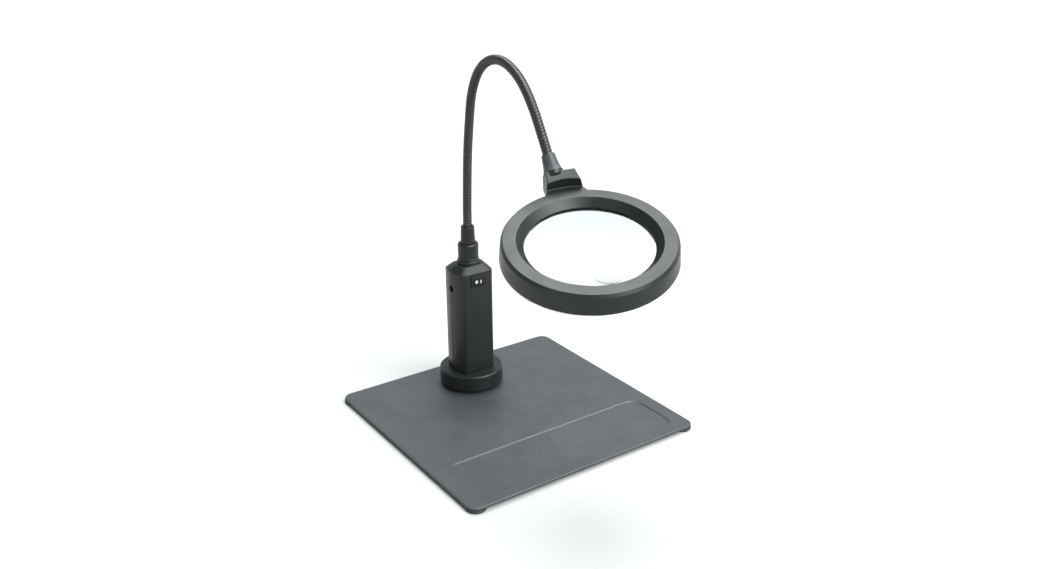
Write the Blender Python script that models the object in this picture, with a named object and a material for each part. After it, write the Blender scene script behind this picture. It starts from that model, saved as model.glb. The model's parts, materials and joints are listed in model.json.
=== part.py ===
"""Gooseneck desk magnifier: a lit lens ring on a flexible neck, over a square steel plate.

Metres, +Z up. The origin is the middle of the object's footprint, at the level of the feet.
+X is to the user's right and +Y points away from the user.
"""

import math

import bmesh
import bpy
from mathutils import Matrix, Vector

MM = 0.001
GAP = 0.3 * MM  # clearance left between pieces that touch

# ---------------------------------------------------------------- base plate and feet
PLATE_WIDTH = 250 * MM
PLATE_DEPTH = 246 * MM
PLATE_THICKNESS = 2.5 * MM
PLATE_CORNER_RADIUS = 9 * MM
PLATE_FRONT_Y = -80.4 * MM  # front edge, seen from the middle of the whole footprint
TRAY_WIDTH = 220 * MM
TRAY_DEPTH = 59 * MM
TRAY_FROM_FRONT = 12 * MM
TRAY_CORNER_RADIUS = 13 * MM
TRAY_RECESS = 1.0 * MM
TRAY_SLOPE = 1.6 * MM
FOOT_RADIUS = 9.4 * MM
FOOT_HEIGHT = 3.0 * MM
FOOT_INSET = 9.0 * MM

PLATE_TOP = FOOT_HEIGHT + GAP + PLATE_THICKNESS

# ---------------------------------------------------------------- magnetic foot disc
LAMP_AXIS_Y = PLATE_FRONT_Y + 200 * MM
DISC_RADIUS = 32 * MM
DISC_BOTTOM = PLATE_TOP + 1.8 * MM
DISC_TOP = PLATE_TOP + 18 * MM
DISC_DECK = 4.8 * MM
MAGNET_RADIUS = 28.2 * MM
MAGNET_HEIGHT = 9.6 * MM

# ---------------------------------------------------------------- handle
SEAM_HALF_WIDTH = 20.8 * MM
FLAT_HALF_WIDTH = 17.0 * MM
HALF_DEPTH = 17.4 * MM
SHELL_WALL = 2.0 * MM
HANDLE_BOTTOM = DISC_TOP + GAP
HANDLE_EDGE = PLATE_TOP + 124 * MM
ROOF_RISE = 6.0 * MM
ROOF_INSET = 6.2 * MM
ROOF_TOP = HANDLE_EDGE + ROOF_RISE
SHELL_SCREW_X = 11 * MM
SHELL_SCREW_Z = PLATE_TOP + 98 * MM

# ---------------------------------------------------------------- battery bay, three AAA cells
CELL_RADIUS = 5.1 * MM
CELL_LENGTH = 44.5 * MM
CELL_PITCH = 10.5 * MM
CELL_BOTTOM = PLATE_TOP + 30.3 * MM
CELL_Y = LAMP_AXIS_Y + 8.8 * MM
BAY_HALF_WIDTH = 14.6 * MM
BAY_BOTTOM = PLATE_TOP + 26.7 * MM
BAY_TOP = PLATE_TOP + 75.3 * MM

# ---------------------------------------------------------------- switch and power socket
SWITCH_Z = PLATE_TOP + 115.4 * MM
BEZEL_WIDTH = 16.5 * MM
BEZEL_HEIGHT = 11.0 * MM
ROCKER_RADIUS = 6.1 * MM
ROCKER_PIVOT_DEPTH = 0.5 * MM
ROCKER_TILT = math.radians(7)
JACK_Z = PLATE_TOP + 106.5 * MM
JACK_BORE_RADIUS = 3.05 * MM

# ---------------------------------------------------------------- neck
NECK_RADIUS = 4.45 * MM
NECK_BORE = 3.0 * MM
LEAD_RADIUS = 1.5 * MM
NECK_START_Z = PLATE_TOP + 166 * MM
LINK_LENGTH = 30.5 * MM
LINK_BENDS = (3, 1, 4, 2, 22, 38, 39, 28, 13, 0)  # degrees that each link turns forward at rest
LINK_END_GAP = 1.3 * MM  # from a neck joint to the tube's end, room to bend 30 degrees
LEAD_END_GAP = 0.6 * MM
COLLAR_BORE = 4.8 * MM
STEM_RADIUS = 6.4 * MM
STEM_HOLE_RADIUS = 6.8 * MM

# ---------------------------------------------------------------- head
HEAD_YAW = math.radians(-20.1)
HEAD_NOD = math.radians(16.3)
HEAD_ROLL = math.radians(-4.6)
NECK_ENTRY = Vector((-8.4, 94.7, 20.1)) * MM  # the neck's end, from the lens ring's centre
FERRULE_LENGTH = 14 * MM
# The lead's way from the upper ferrule down through the block into the ring, from the lens ring's centre.
LEAD_ROUTE = (
    Vector((-6.2, 81.3, 5.9)) * MM,
    Vector((-5.9, 79.9, 2.8)) * MM,
    Vector((-5.6, 79.2, -0.6)) * MM,
    Vector((-5.3, 77.9, -3.6)) * MM,
    Vector((-5.1, 75.2, -5.0)) * MM,
    Vector((-5.0, 66.5, -5.2)) * MM,
)
LEAD_WAY_RADIUS = 2.1 * MM
NECK_IN_FERRULE = 11 * MM
RING_STEPS = 48
RING_TOP_RADIUS = 69.1 * MM
RING_SPLIT = -9.8 * MM
RING_BOTTOM = -18.1 * MM
LENS_RADIUS = 55.1 * MM
LENS_EDGE_TOP = -7.8 * MM
LENS_EDGE = 2.8 * MM
LENS_OPENING = 52.1 * MM
LENS_CURVE_RADIUS = 700 * MM
SPOT_LENS_RADIUS = 12 * MM
SPOT_LENS_CURVE_RADIUS = 60 * MM
SPOT_LENS_PLACE = Vector((4, -35, 0)) * MM
HEAD_SCREW_CIRCLE = 64.8 * MM
LED_COUNT = 20

COLOURS = {
    "plate_paint": ((0.110, 0.120, 0.125), 0.45, 0.3),
    "housing_plastic": ((0.045, 0.050, 0.052), 0.42, 0.0),
    "neck_steel": ((0.030, 0.031, 0.033), 0.38, 0.6),
    "bare_steel": ((0.560, 0.570, 0.580), 0.30, 1.0),
    "rubber": ((0.020, 0.020, 0.021), 0.70, 0.0),
    "switch_plastic": ((0.012, 0.012, 0.013), 0.28, 0.0),
    "lens_acrylic": ((0.930, 0.960, 0.960), 0.03, 0.0),
    "diffuser_acrylic": ((0.900, 0.920, 0.920), 0.35, 0.0),
    "board": ((0.030, 0.180, 0.070), 0.40, 0.0),
    "led_board": ((0.850, 0.860, 0.840), 0.45, 0.0),
    "cell_jacket": ((0.080, 0.085, 0.100), 0.35, 0.5),
    "lead_vinyl": ((0.018, 0.018, 0.018), 0.50, 0.0),
}


# ================================================================ helpers
def clear_scene():
    for obj in list(bpy.data.objects):
        bpy.data.objects.remove(obj)


def material(slot):
    found = bpy.data.materials.get(slot)
    if found:
        return found
    colour, roughness, metallic = COLOURS[slot]
    made = bpy.data.materials.new(slot)
    made.use_nodes = True
    shader = made.node_tree.nodes["Principled BSDF"]
    shader.inputs["Base Color"].default_value = (*colour, 1)
    shader.inputs["Roughness"].default_value = roughness
    shader.inputs["Metallic"].default_value = metallic
    return made


def add_object(name, bm, slot, parent=None, frame=None):
    """Makes the object. Its mesh is given in frame, and parent is the joint's empty it hangs on."""
    bmesh.ops.recalc_face_normals(bm, faces=bm.faces)
    mesh = bpy.data.meshes.new(name)
    bm.to_mesh(mesh)
    bm.free()
    mesh.shade_smooth()
    mesh.set_sharp_from_angle(angle=math.radians(35))
    obj = bpy.data.objects.new(name, mesh)
    bpy.context.scene.collection.objects.link(obj)
    if slot:
        obj.data.materials.append(material(slot))
    obj.matrix_basis = frame or Matrix.Identity(4)
    if parent:
        obj.parent = parent
        obj.matrix_parent_inverse = parent.matrix_basis.inverted()
    return obj


def add_cutter(name, bm, frame=None):
    obj = add_object(name, bm, None, frame=frame)
    obj.hide_render = True
    obj.display_type = "WIRE"
    return obj


def boolean(obj, cutter, operation="DIFFERENCE"):
    modifier = obj.modifiers.new(cutter.name, "BOOLEAN")
    modifier.object = cutter
    modifier.operation = operation
    modifier.solver = "EXACT"


def joint_empty(name, position, parent=None):
    """An empty on a joint's axis. Every empty keeps world axes, so its basis is a translation."""
    empty = bpy.data.objects.new(name, None)
    bpy.context.scene.collection.objects.link(empty)
    empty.matrix_basis = Matrix.Translation(position)
    empty.empty_display_size = 10 * MM
    if parent:
        empty.parent = parent
        empty.matrix_parent_inverse = parent.matrix_basis.inverted()
    return empty


def loft(loops, closed=False):
    """A skin through loops of equal length. Its two ends are capped, unless the loops close on themselves."""
    bm = bmesh.new()
    rings = [[bm.verts.new(point) for point in loop] for loop in loops]
    count = len(rings[0])
    pairs = list(zip(rings, rings[1:]))
    if closed:
        pairs.append((rings[-1], rings[0]))
    for low, high in pairs:
        for i in range(count):
            j = (i + 1) % count
            bm.faces.new((low[i], low[j], high[j], high[i]))
    if not closed:
        bm.faces.new(rings[0])
        bm.faces.new(rings[-1])
    return bm


def revolve(profile, steps=48):
    """Turns a closed (radius, height) profile about Z. A point of radius 0 is a pole."""
    bm = bmesh.new()
    columns = []
    for radius, height in profile:
        if radius == 0:
            columns.append([bm.verts.new((0, 0, height))] * steps)
            continue
        angles = [2 * math.pi * i / steps for i in range(steps)]
        column = [bm.verts.new((radius * math.cos(a), radius * math.sin(a), height)) for a in angles]
        columns.append(column)
    for first, second in zip(columns, columns[1:] + columns[:1]):
        for i in range(steps):
            j = (i + 1) % steps
            corners = []
            for vertex in (first[i], first[j], second[j], second[i]):
                if vertex not in corners:
                    corners.append(vertex)
            if len(corners) > 2:
                bm.faces.new(corners)
    return bm


def cylinder(radius, low, high, steps=24):
    return revolve([(0, low), (radius, low), (radius, high), (0, high)], steps)


def tube(outer, inner, low, high, steps=24):
    return revolve([(inner, low), (outer, low), (outer, high), (inner, high)], steps)


def box(low, high):
    outline = [(low[0], low[1]), (high[0], low[1]), (high[0], high[1]), (low[0], high[1])]
    return prism(outline, low[2], high[2])


def prism(outline, low, high):
    return loft([[(x, y, z) for x, y in outline] for z in (low, high)])


def together(placed):
    """One mesh of several, each given with its place."""
    whole = bmesh.new()
    for bm, place in placed:
        bm.transform(place)
        part = bpy.data.meshes.new("part")
        bm.to_mesh(part)
        bm.free()
        whole.from_mesh(part)
        bpy.data.meshes.remove(part)
    return whole


def rounded_rectangle(width, depth, radius, centre=(0, 0), steps=6):
    points = []
    for quarter, (sx, sy) in enumerate(((1, 1), (-1, 1), (-1, -1), (1, -1))):
        cx = centre[0] + sx * (width / 2 - radius)
        cy = centre[1] + sy * (depth / 2 - radius)
        for i in range(steps + 1):
            angle = math.pi / 2 * (quarter + i / steps)
            points.append((cx + radius * math.cos(angle), cy + radius * math.sin(angle)))
    return points


def sweep(path, radius, sides, inner=0.0):
    """A round tube or rod along a path of (point, direction) that stays near a plane of constant x."""
    across = Vector((1, 0, 0))
    loops = []
    for size in (radius, inner):
        if not size:
            continue
        circle = [2 * math.pi * i / sides for i in range(sides)]
        rings = []
        for point, direction in path:
            up = direction.cross(across).normalized()
            rings.append([point + size * (across * math.cos(a) + up * math.sin(a)) for a in circle])
        loops.append(rings)
    if not inner:
        return loft(loops[0])
    return loft(loops[0] + loops[1][::-1], closed=True)


# ================================================================ neck's centre line
def neck_frames():
    """(point, angle from vertical) at the start of each link and at the neck's end."""
    point = Vector((0, LAMP_AXIS_Y, NECK_START_Z))
    angle = 0.0
    frames = [(point.copy(), angle)]
    for bend in LINK_BENDS:
        point, angle = along_link(point, angle, math.radians(bend), LINK_LENGTH)
        frames.append((point.copy(), angle))
    return frames


def heading(angle):
    return Vector((0, -math.sin(angle), math.cos(angle)))


def along_link(point, angle, bend, distance):
    """The place a distance along an arc that turns by bend over one link's length."""
    turned = bend * distance / LINK_LENGTH
    if abs(bend) < 1e-9:
        return point + heading(angle) * distance, angle
    radius = LINK_LENGTH / bend
    side = Vector((0, -math.cos(angle), -math.sin(angle)))
    ahead = heading(angle) * math.sin(turned) + side * (1 - math.cos(turned))
    return point + ahead * radius, angle + turned


def link_path(index, frames, start, end, steps):
    point, angle = frames[index]
    bend = math.radians(LINK_BENDS[index])
    path = []
    for i in range(steps + 1):
        at, turned = along_link(point, angle, bend, start + (end - start) * i / steps)
        path.append((at, heading(turned)))
    return path


def head_matrix(neck_end):
    """Frame of the lens ring: origin at its centre on the top face, +Y to the neck, +Z out of the top."""
    turn = Matrix.Rotation(HEAD_YAW, 4, "Z") @ Matrix.Rotation(HEAD_NOD, 4, "X")
    turn = turn @ Matrix.Rotation(HEAD_ROLL, 4, "Y")
    return Matrix.Translation(neck_end - (turn.to_3x3() @ NECK_ENTRY)) @ turn


# ================================================================ base
def make_plate():
    middle = (0, PLATE_FRONT_Y + PLATE_DEPTH / 2)
    edge = 0.5 * MM
    loops = []
    for z, inset in (
        (PLATE_TOP - PLATE_THICKNESS, 0),
        (PLATE_TOP - edge, 0),
        (PLATE_TOP, edge),
    ):
        outline = rounded_rectangle(
            PLATE_WIDTH - 2 * inset, PLATE_DEPTH - 2 * inset, PLATE_CORNER_RADIUS - inset, middle
        )
        loops.append([(x, y, z) for x, y in outline])
    plate = add_object("base_plate", loft(loops), "plate_paint")
    tray_middle = (0, PLATE_FRONT_Y + TRAY_FROM_FRONT + TRAY_DEPTH / 2)
    loops = []
    for z, inset in (
        (PLATE_TOP - TRAY_RECESS, TRAY_SLOPE),
        (PLATE_TOP, 0),
        (PLATE_TOP + MM, -TRAY_SLOPE),
    ):
        outline = rounded_rectangle(
            TRAY_WIDTH - 2 * inset, TRAY_DEPTH - 2 * inset, TRAY_CORNER_RADIUS - inset, tray_middle
        )
        loops.append([(x, y, z) for x, y in outline])
    boolean(plate, add_cutter("tray_cutter", loft(loops)))


def make_feet():
    left = -PLATE_WIDTH / 2 + FOOT_INSET
    front = PLATE_FRONT_Y + FOOT_INSET
    back = PLATE_FRONT_Y + PLATE_DEPTH - FOOT_INSET
    profile = [
        (0, 0),
        (FOOT_RADIUS - 1.2 * MM, 0),
        (FOOT_RADIUS, 1.2 * MM),
        (FOOT_RADIUS, FOOT_HEIGHT),
        (0, FOOT_HEIGHT),
    ]
    for name, x, y in (
        ("foot_front_left", left, front),
        ("foot_front_right", -left, front),
        ("foot_back_left", left, back),
        ("foot_back_right", -left, back),
    ):
        add_object(name, revolve(profile, 24), "rubber", frame=Matrix.Translation((x, y, 0)))


def lamp_frame(x=0.0, y=0.0, z=0.0):
    """A place given from the lamp's upright axis."""
    return Matrix.Translation((x, LAMP_AXIS_Y + y, z))


def make_foot_disc(swivel):
    deck = DISC_TOP - DISC_DECK
    screw_hole = 2.3 * MM
    cavity = MAGNET_RADIUS + GAP
    disc = revolve(
        [
            (screw_hole, deck),
            (cavity, deck),
            (cavity, DISC_BOTTOM),
            (DISC_RADIUS - 0.6 * MM, DISC_BOTTOM),
            (DISC_RADIUS, DISC_BOTTOM + 0.6 * MM),
            (DISC_RADIUS, DISC_TOP - 1.0 * MM),
            (DISC_RADIUS - 1.0 * MM, DISC_TOP),
            (screw_hole, DISC_TOP),
        ],
        40,
    )
    add_object("base_disc", disc, "housing_plastic", swivel, lamp_frame())
    low = PLATE_TOP + GAP
    high = low + MAGNET_HEIGHT
    magnet = revolve(
        [
            (0, low),
            (MAGNET_RADIUS - 0.8 * MM, low),
            (MAGNET_RADIUS, low + 0.8 * MM),
            (MAGNET_RADIUS, high),
            (0, high),
        ],
        32,
    )
    add_object("base_magnet", magnet, "bare_steel", swivel, lamp_frame())
    head = 4.0 * MM
    shaft = 1.95 * MM
    seat = deck - GAP
    screw = revolve(
        [(0, seat - 2.4 * MM), (head, seat - 2.4 * MM), (head, seat), (shaft, seat)]
        + [(shaft, DISC_TOP + 7 * MM), (0, DISC_TOP + 7 * MM)],
        16,
    )
    add_object("base_screw", screw, "bare_steel", swivel, lamp_frame())


# ================================================================ handle
def handle_outline(inset, steps=5):
    """Flat front and back, and sides that bulge out to the seam between the two shells."""
    bulge = SEAM_HALF_WIDTH - FLAT_HALF_WIDTH
    flat = FLAT_HALF_WIDTH - inset
    quarter = []
    for i in range(steps + 1):
        share = i / steps
        x = flat + bulge * math.cos(math.pi / 2 * share)
        quarter.append((x, (HALF_DEPTH - inset) * share))
    right = [(x, -y) for x, y in quarter[:0:-1]] + quarter
    left = [(-x, -y) for x, y in right]
    return right + left


def handle_solid(inset, bottom):
    """The handle's outer shape for inset 0, and the space inside its walls for the wall's thickness."""
    loops = []
    for z, extra in ((bottom, 0), (HANDLE_EDGE - inset / 2, 0), (ROOF_TOP - inset, ROOF_INSET)):
        loops.append([(x, y, z) for x, y in handle_outline(inset + extra)])
    return loft(loops)


def make_shells(swivel):
    far = 40 * MM
    hollow = handle_solid(SHELL_WALL, HANDLE_BOTTOM - MM)
    inside = add_cutter("handle_inside", hollow, lamp_frame())
    hole = cylinder(STEM_HOLE_RADIUS, ROOF_TOP - 10 * MM, ROOF_TOP + MM)
    stem = add_cutter("stem_hole", hole, lamp_frame())
    hole = cylinder(JACK_BORE_RADIUS + 0.1 * MM, 14 * MM, 24 * MM)
    socket = add_cutter("socket_hole", hole, jack_frame())
    for name, side in (("front_shell", -1), ("rear_shell", 1)):
        whole = handle_solid(0, HANDLE_BOTTOM)
        shell = add_object(name, whole, "housing_plastic", swivel, lamp_frame())
        boolean(shell, inside)
        near = -side * GAP / 2
        low_y, high_y = sorted((side * -far, -near))
        half = box((-far, low_y, 0), (far, high_y, ROOF_TOP + far))
        boolean(shell, add_cutter(name + "_other_half", half, lamp_frame()))
        boolean(shell, stem)
        boolean(shell, socket)
        posts, bores = screw_posts(side)
        boolean(shell, add_cutter(name + "_posts", posts, lamp_frame()), "UNION")
        boolean(shell, add_cutter(name + "_bores", bores, lamp_frame()))
        if side < 0:
            hole = box(
                (-7.6 * MM, -HALF_DEPTH - 3 * MM, SWITCH_Z - 5.2 * MM),
                (7.6 * MM, -HALF_DEPTH + 4 * MM, SWITCH_Z + 5.2 * MM),
            )
        else:
            hole = box(
                (-BAY_HALF_WIDTH, HALF_DEPTH - 4 * MM, BAY_BOTTOM),
                (BAY_HALF_WIDTH, HALF_DEPTH + 3 * MM, BAY_TOP),
            )
        boolean(shell, add_cutter(name + "_window", hole, lamp_frame()))


def screw_posts(side):
    """Posts from the shell's flat wall to the seam, and the bores in them for the two screws."""
    upright = Matrix.Rotation(math.radians(-90 * side), 4, "X")
    posts, bores = [], []
    for sign in (-1, 1):
        place = Matrix.Translation((sign * SHELL_SCREW_X, 0, SHELL_SCREW_Z)) @ upright
        posts.append((cylinder(4.0 * MM, 0.4 * MM, HALF_DEPTH - 1.0 * MM), place))
        if side < 0:
            bores.append((cylinder(1.5 * MM, -MM, 12 * MM, 16), place))
        else:
            profile = [(0, -MM), (1.7 * MM, -MM), (1.7 * MM, 8 * MM)]
            profile += [(3.0 * MM, 8 * MM), (3.0 * MM, 20 * MM), (0, 20 * MM)]
            bores.append((revolve(profile, 16), place))
    return together(posts), together(bores)


def make_shell_screws(swivel):
    away = Matrix.Rotation(math.radians(-90), 4, "X")
    for name, sign in (("shell_screw_left", -1), ("shell_screw_right", 1)):
        shaft = 1.2 * MM
        seat = 8 * MM + GAP
        screw = revolve(
            [(0, -10 * MM), (shaft, -10 * MM), (shaft, seat), (2.6 * MM, seat)]
            + [(2.6 * MM, seat + 1.7 * MM), (0, seat + 1.7 * MM)],
            16,
        )
        frame = lamp_frame(sign * SHELL_SCREW_X, 0, SHELL_SCREW_Z) @ away
        add_object(name, screw, "bare_steel", swivel, frame)


def make_handle_foot(swivel):
    """The plug that closes the handle's bottom and takes the screw from the disc."""
    bottom = HANDLE_BOTTOM
    plug = prism(handle_outline(SHELL_WALL + GAP), bottom, bottom + 5.5 * MM)
    foot = add_object("handle_foot", plug, "housing_plastic", swivel, lamp_frame())
    hole = cylinder(2.3 * MM, bottom - 5 * MM, bottom + 10 * MM)
    boolean(foot, add_cutter("handle_foot_hole", hole, lamp_frame()))


# ================================================================ power
def make_battery_bay(swivel, cover_slide):
    half = 1.5 * CELL_PITCH + 0.2 * MM
    wall = 0.8 * MM
    low = CELL_BOTTOM - 5.1 * MM
    high = CELL_BOTTOM + CELL_LENGTH + 1.3 * MM
    back = 2.0 * MM
    tray = box((-half - wall, back, low - wall), (half + wall, 10 * MM, high + wall))
    tray = add_object("battery_box", tray, "housing_plastic", swivel, lamp_frame())
    inside = box((-half, back + wall, low), (half, 12 * MM, high))
    boolean(tray, add_cutter("battery_box_inside", inside, lamp_frame()))
    cell_y = CELL_Y - LAMP_AXIS_Y
    strip = box(
        (-half + GAP, cell_y - 4 * MM, low + GAP),
        (half - GAP, cell_y + 1.0 * MM, low + GAP + 0.6 * MM),
    )
    springs = add_object("battery_springs", strip, "bare_steel", swivel, lamp_frame())
    base = low + GAP + 0.3 * MM
    profile = [(0, base), (3.4 * MM, base), (1.8 * MM, CELL_BOTTOM - GAP), (0, CELL_BOTTOM - GAP)]
    cones = []
    for i in (-1, 0, 1):
        cones.append((revolve(profile, 16), Matrix.Translation((i * CELL_PITCH, cell_y, 0))))
    boolean(springs, add_cutter("spring_cones", together(cones), lamp_frame()), "UNION")
    top = high - GAP
    strip = box(
        (-half + GAP, cell_y - 4 * MM, top - 0.6 * MM), (half - GAP, cell_y + 4 * MM, top)
    )
    add_object("battery_contacts", strip, "bare_steel", swivel, lamp_frame())
    for i in (-1, 0, 1):
        nub = CELL_BOTTOM + CELL_LENGTH
        shoulder = nub - 1.0 * MM
        cell = revolve(
            [
                (0, CELL_BOTTOM),
                (CELL_RADIUS - 0.4 * MM, CELL_BOTTOM),
                (CELL_RADIUS, CELL_BOTTOM + 0.4 * MM),
                (CELL_RADIUS, shoulder - 0.4 * MM),
                (CELL_RADIUS - 0.4 * MM, shoulder),
                (1.9 * MM, shoulder),
                (1.9 * MM, nub),
                (0, nub),
            ],
            20,
        )
        place = lamp_frame(i * CELL_PITCH, cell_y)
        add_object(f"battery_{i + 2}", cell, "cell_jacket", swivel, place)
    cover = box(
        (-BAY_HALF_WIDTH + GAP, HALF_DEPTH - 1.8 * MM, BAY_BOTTOM + GAP),
        (BAY_HALF_WIDTH - GAP, HALF_DEPTH, BAY_TOP - GAP),
    )
    add_object("battery_cover", cover, "housing_plastic", cover_slide, lamp_frame())


def make_driver_board(swivel):
    """The regulator board: a capacitor, a coil and a chip on one side."""
    low = PLATE_TOP + 103 * MM
    front = 6.0 * MM
    board = box((-13 * MM, front, low), (13 * MM, front + 1.6 * MM, low + 17 * MM))
    board = add_object("driver_board", board, "board", swivel, lamp_frame())
    towards_back = Matrix.Rotation(math.radians(-90), 4, "X")
    for name, x, z, radius in (("capacitor", -8, 9, 3.0), ("coil", 2, 6, 3.6)):
        frame = lamp_frame(x * MM, front + 1.2 * MM, low + z * MM) @ towards_back
        boolean(board, add_cutter(name, cylinder(radius * MM, 0, 5 * MM, 16), frame), "UNION")
    chip = box((7 * MM, front + MM, low + 6 * MM), (11.5 * MM, front + 3 * MM, low + 11 * MM))
    boolean(board, add_cutter("chip", chip, lamp_frame()), "UNION")


def make_switch(swivel, rocker_pivot):
    """The rocker turns about an upright axis. Outwards is -Y."""
    face = -HALF_DEPTH
    bezel = box(
        (-BEZEL_WIDTH / 2, face - 1.3 * MM, SWITCH_Z - BEZEL_HEIGHT / 2),
        (BEZEL_WIDTH / 2, face - GAP, SWITCH_Z + BEZEL_HEIGHT / 2),
    )
    body = add_object("switch_body", bezel, "switch_plastic", swivel, lamp_frame())
    block = box(
        (-7.25 * MM, face - 0.8 * MM, SWITCH_Z - 4.9 * MM),
        (7.25 * MM, face + 10.5 * MM, SWITCH_Z + 4.9 * MM),
    )
    boolean(body, add_cutter("switch_block", block, lamp_frame()), "UNION")
    well = box(
        (-6.5 * MM, face - 3 * MM, SWITCH_Z - 4.45 * MM),
        (6.5 * MM, face + 6 * MM, SWITCH_Z + 4.45 * MM),
    )
    boolean(body, add_cutter("switch_well", well, lamp_frame()))
    add_object("switch_rocker", make_rocker(), "switch_plastic", rocker_pivot, rocker_frame())


def rocker_frame():
    """On the rocker's pivot, turned to its off position."""
    depth = ROCKER_PIVOT_DEPTH - HALF_DEPTH
    return lamp_frame(0, depth, SWITCH_Z) @ Matrix.Rotation(-ROCKER_TILT, 4, "Z")


def make_rocker():
    """Two shallow facets that meet in the middle, and round ends that stay clear of the bezel."""
    steps = 4
    low, high = math.radians(-30), math.radians(24)
    side = []
    for i in range(steps + 1):
        angle = low + (high - low) * i / steps
        side.append((ROCKER_RADIUS * math.cos(angle), -ROCKER_RADIUS * math.sin(angle)))
    outline = side + [(0, -1.7 * MM)] + [(-x, y) for x, y in side[::-1]]
    return prism(outline, -4.1 * MM, 4.1 * MM)


def jack_frame():
    """On the lamp's axis at the socket's height, with +Z out of the left side of the handle."""
    return lamp_frame(0, 0, JACK_Z) @ Matrix.Rotation(math.radians(-90), 4, "Y")


def make_jack(swivel):
    mouth = 18.4 * MM
    depth = 9.0 * MM
    pin = 1.0 * MM
    profile = [
        (0, mouth - depth - 2 * MM),
        (4.2 * MM, mouth - depth - 2 * MM),
        (4.2 * MM, mouth),
        (JACK_BORE_RADIUS, mouth),
        (JACK_BORE_RADIUS, mouth - depth),
        (pin, mouth - depth),
        (pin, mouth - 2.7 * MM),
        (0, mouth - 2.7 * MM),
    ]
    add_object("dc_jack", revolve(profile, 20), "switch_plastic", swivel, jack_frame())


# ================================================================ neck
def make_neck_base(swivel):
    flange_low = ROOF_TOP + GAP
    flange_high = flange_low + 3.4 * MM
    flange = tube(11.3 * MM, STEM_HOLE_RADIUS, flange_low, flange_high, 28)
    add_object("neck_flange", flange, "housing_plastic", swivel, lamp_frame())
    collar_low = flange_high + GAP
    collar_high = PLATE_TOP + 151 * MM
    stem_low = ROOF_TOP - 9 * MM
    shelf = collar_high - 10 * MM
    collar = revolve(
        [
            (NECK_BORE, stem_low),
            (STEM_RADIUS, stem_low),
            (STEM_RADIUS, collar_low),
            (10.5 * MM, collar_low),
            (10.3 * MM, collar_high - 1.2 * MM),
            (9.3 * MM, collar_high),
            (COLLAR_BORE, collar_high),
            (COLLAR_BORE, shelf),
            (NECK_BORE, shelf),
        ],
        28,
    )
    add_object("neck_collar", collar, "housing_plastic", swivel, lamp_frame())
    nut_high = ROOF_TOP - SHELL_WALL - GAP
    nut = hex_nut(9.2 * MM, STEM_HOLE_RADIUS, nut_high - 4 * MM, nut_high)
    add_object("neck_locknut", nut, "bare_steel", swivel, lamp_frame())
    low = collar_high + GAP
    high = NECK_START_Z + 2.5 * MM
    ferrule = revolve(
        [
            (COLLAR_BORE, low),
            (7.4 * MM, low),
            (6.9 * MM, high - 1.0 * MM),
            (6.3 * MM, high),
            (COLLAR_BORE, high),
        ],
        24,
    )
    add_object("lower_ferrule", ferrule, "neck_steel", swivel, lamp_frame())


def hex_nut(corner_radius, bore, low, high):
    """A six-sided nut whose bore is round."""
    steps = 24
    flats, hole = [], []
    for i in range(steps):
        angle = 2 * math.pi * i / steps
        off = (angle % (math.pi / 3)) - math.pi / 6
        reach = corner_radius * math.cos(math.pi / 6) / math.cos(off)
        flats.append((reach * math.cos(angle), reach * math.sin(angle)))
        hole.append((bore * math.cos(angle), bore * math.sin(angle)))
    loops = []
    for outline, z in ((flats, low), (flats, high), (hole, high), (hole, low)):
        loops.append([(x, y, z) for x, y in outline])
    return loft(loops, closed=True)


def lead_way(head, entry):
    """(point, direction) pairs of the lead's way from the upper ferrule's end into the ring."""
    points = [entry @ Vector((0, 0, FERRULE_LENGTH))] + [head @ point for point in LEAD_ROUTE]
    pairs = [(points[0], entry.to_3x3() @ Vector((0, 0, 1)))]
    for before, point, after in zip(points, points[1:], points[2:] + points[-1:]):
        pairs.append((point, (after - before).normalized()))
    return pairs


def make_neck(frames, bodies, head, entry):
    """One tube and one stretch of lead for each link. The first and last reach into their ferrules."""
    last = len(LINK_BENDS) - 1
    for index in range(last + 1):
        steps = max(1, round(LINK_BENDS[index] / 9))
        for name, radius, bore, gap, sides in (
            ("neck_link", NECK_RADIUS, NECK_BORE, LINK_END_GAP, 12),
            ("neck_lead", LEAD_RADIUS, 0, LEAD_END_GAP, 8),
        ):
            start = 0 if index == 0 else gap
            end = LINK_LENGTH if index == last else LINK_LENGTH - gap
            path = link_path(index, frames, start, end, steps)
            if index == 0:
                below = 24 * MM if bore else 58 * MM
                path.insert(0, (path[0][0] - path[0][1] * below, path[0][1]))
            if index == last and bore:
                path.append((path[-1][0] + path[-1][1] * NECK_IN_FERRULE, path[-1][1]))
            elif index == last:
                path += lead_way(head, entry)
            slot = "neck_steel" if bore else "lead_vinyl"
            bm = sweep(path, radius, sides, bore)
            add_object(f"{name}_{index + 1:02d}", bm, slot, bodies[index])


# ================================================================ head
def entry_frame(neck_end, angle):
    """Frame at the neck's end with +Z along the neck, towards the lens ring."""
    along = heading(angle)
    across = Vector((1, 0, 0))
    up = along.cross(across)
    turn = Matrix((across, up, along)).transposed().to_4x4()
    return Matrix.Translation(neck_end) @ turn


def make_upper_ferrule(body, entry):
    start = -1.5 * MM
    profile = [
        (COLLAR_BORE, start),
        (5.6 * MM, start),
        (6.1 * MM, start + 0.8 * MM),
        (6.9 * MM, start + 8.0 * MM),
        (8.3 * MM, FERRULE_LENGTH),
        (COLLAR_BORE - 2.2 * MM, FERRULE_LENGTH),
        (COLLAR_BORE - 2.2 * MM, NECK_IN_FERRULE + GAP),
        (COLLAR_BORE, NECK_IN_FERRULE + GAP),
    ]
    add_object("upper_ferrule", revolve(profile, 24), "neck_steel", body, entry)


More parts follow.
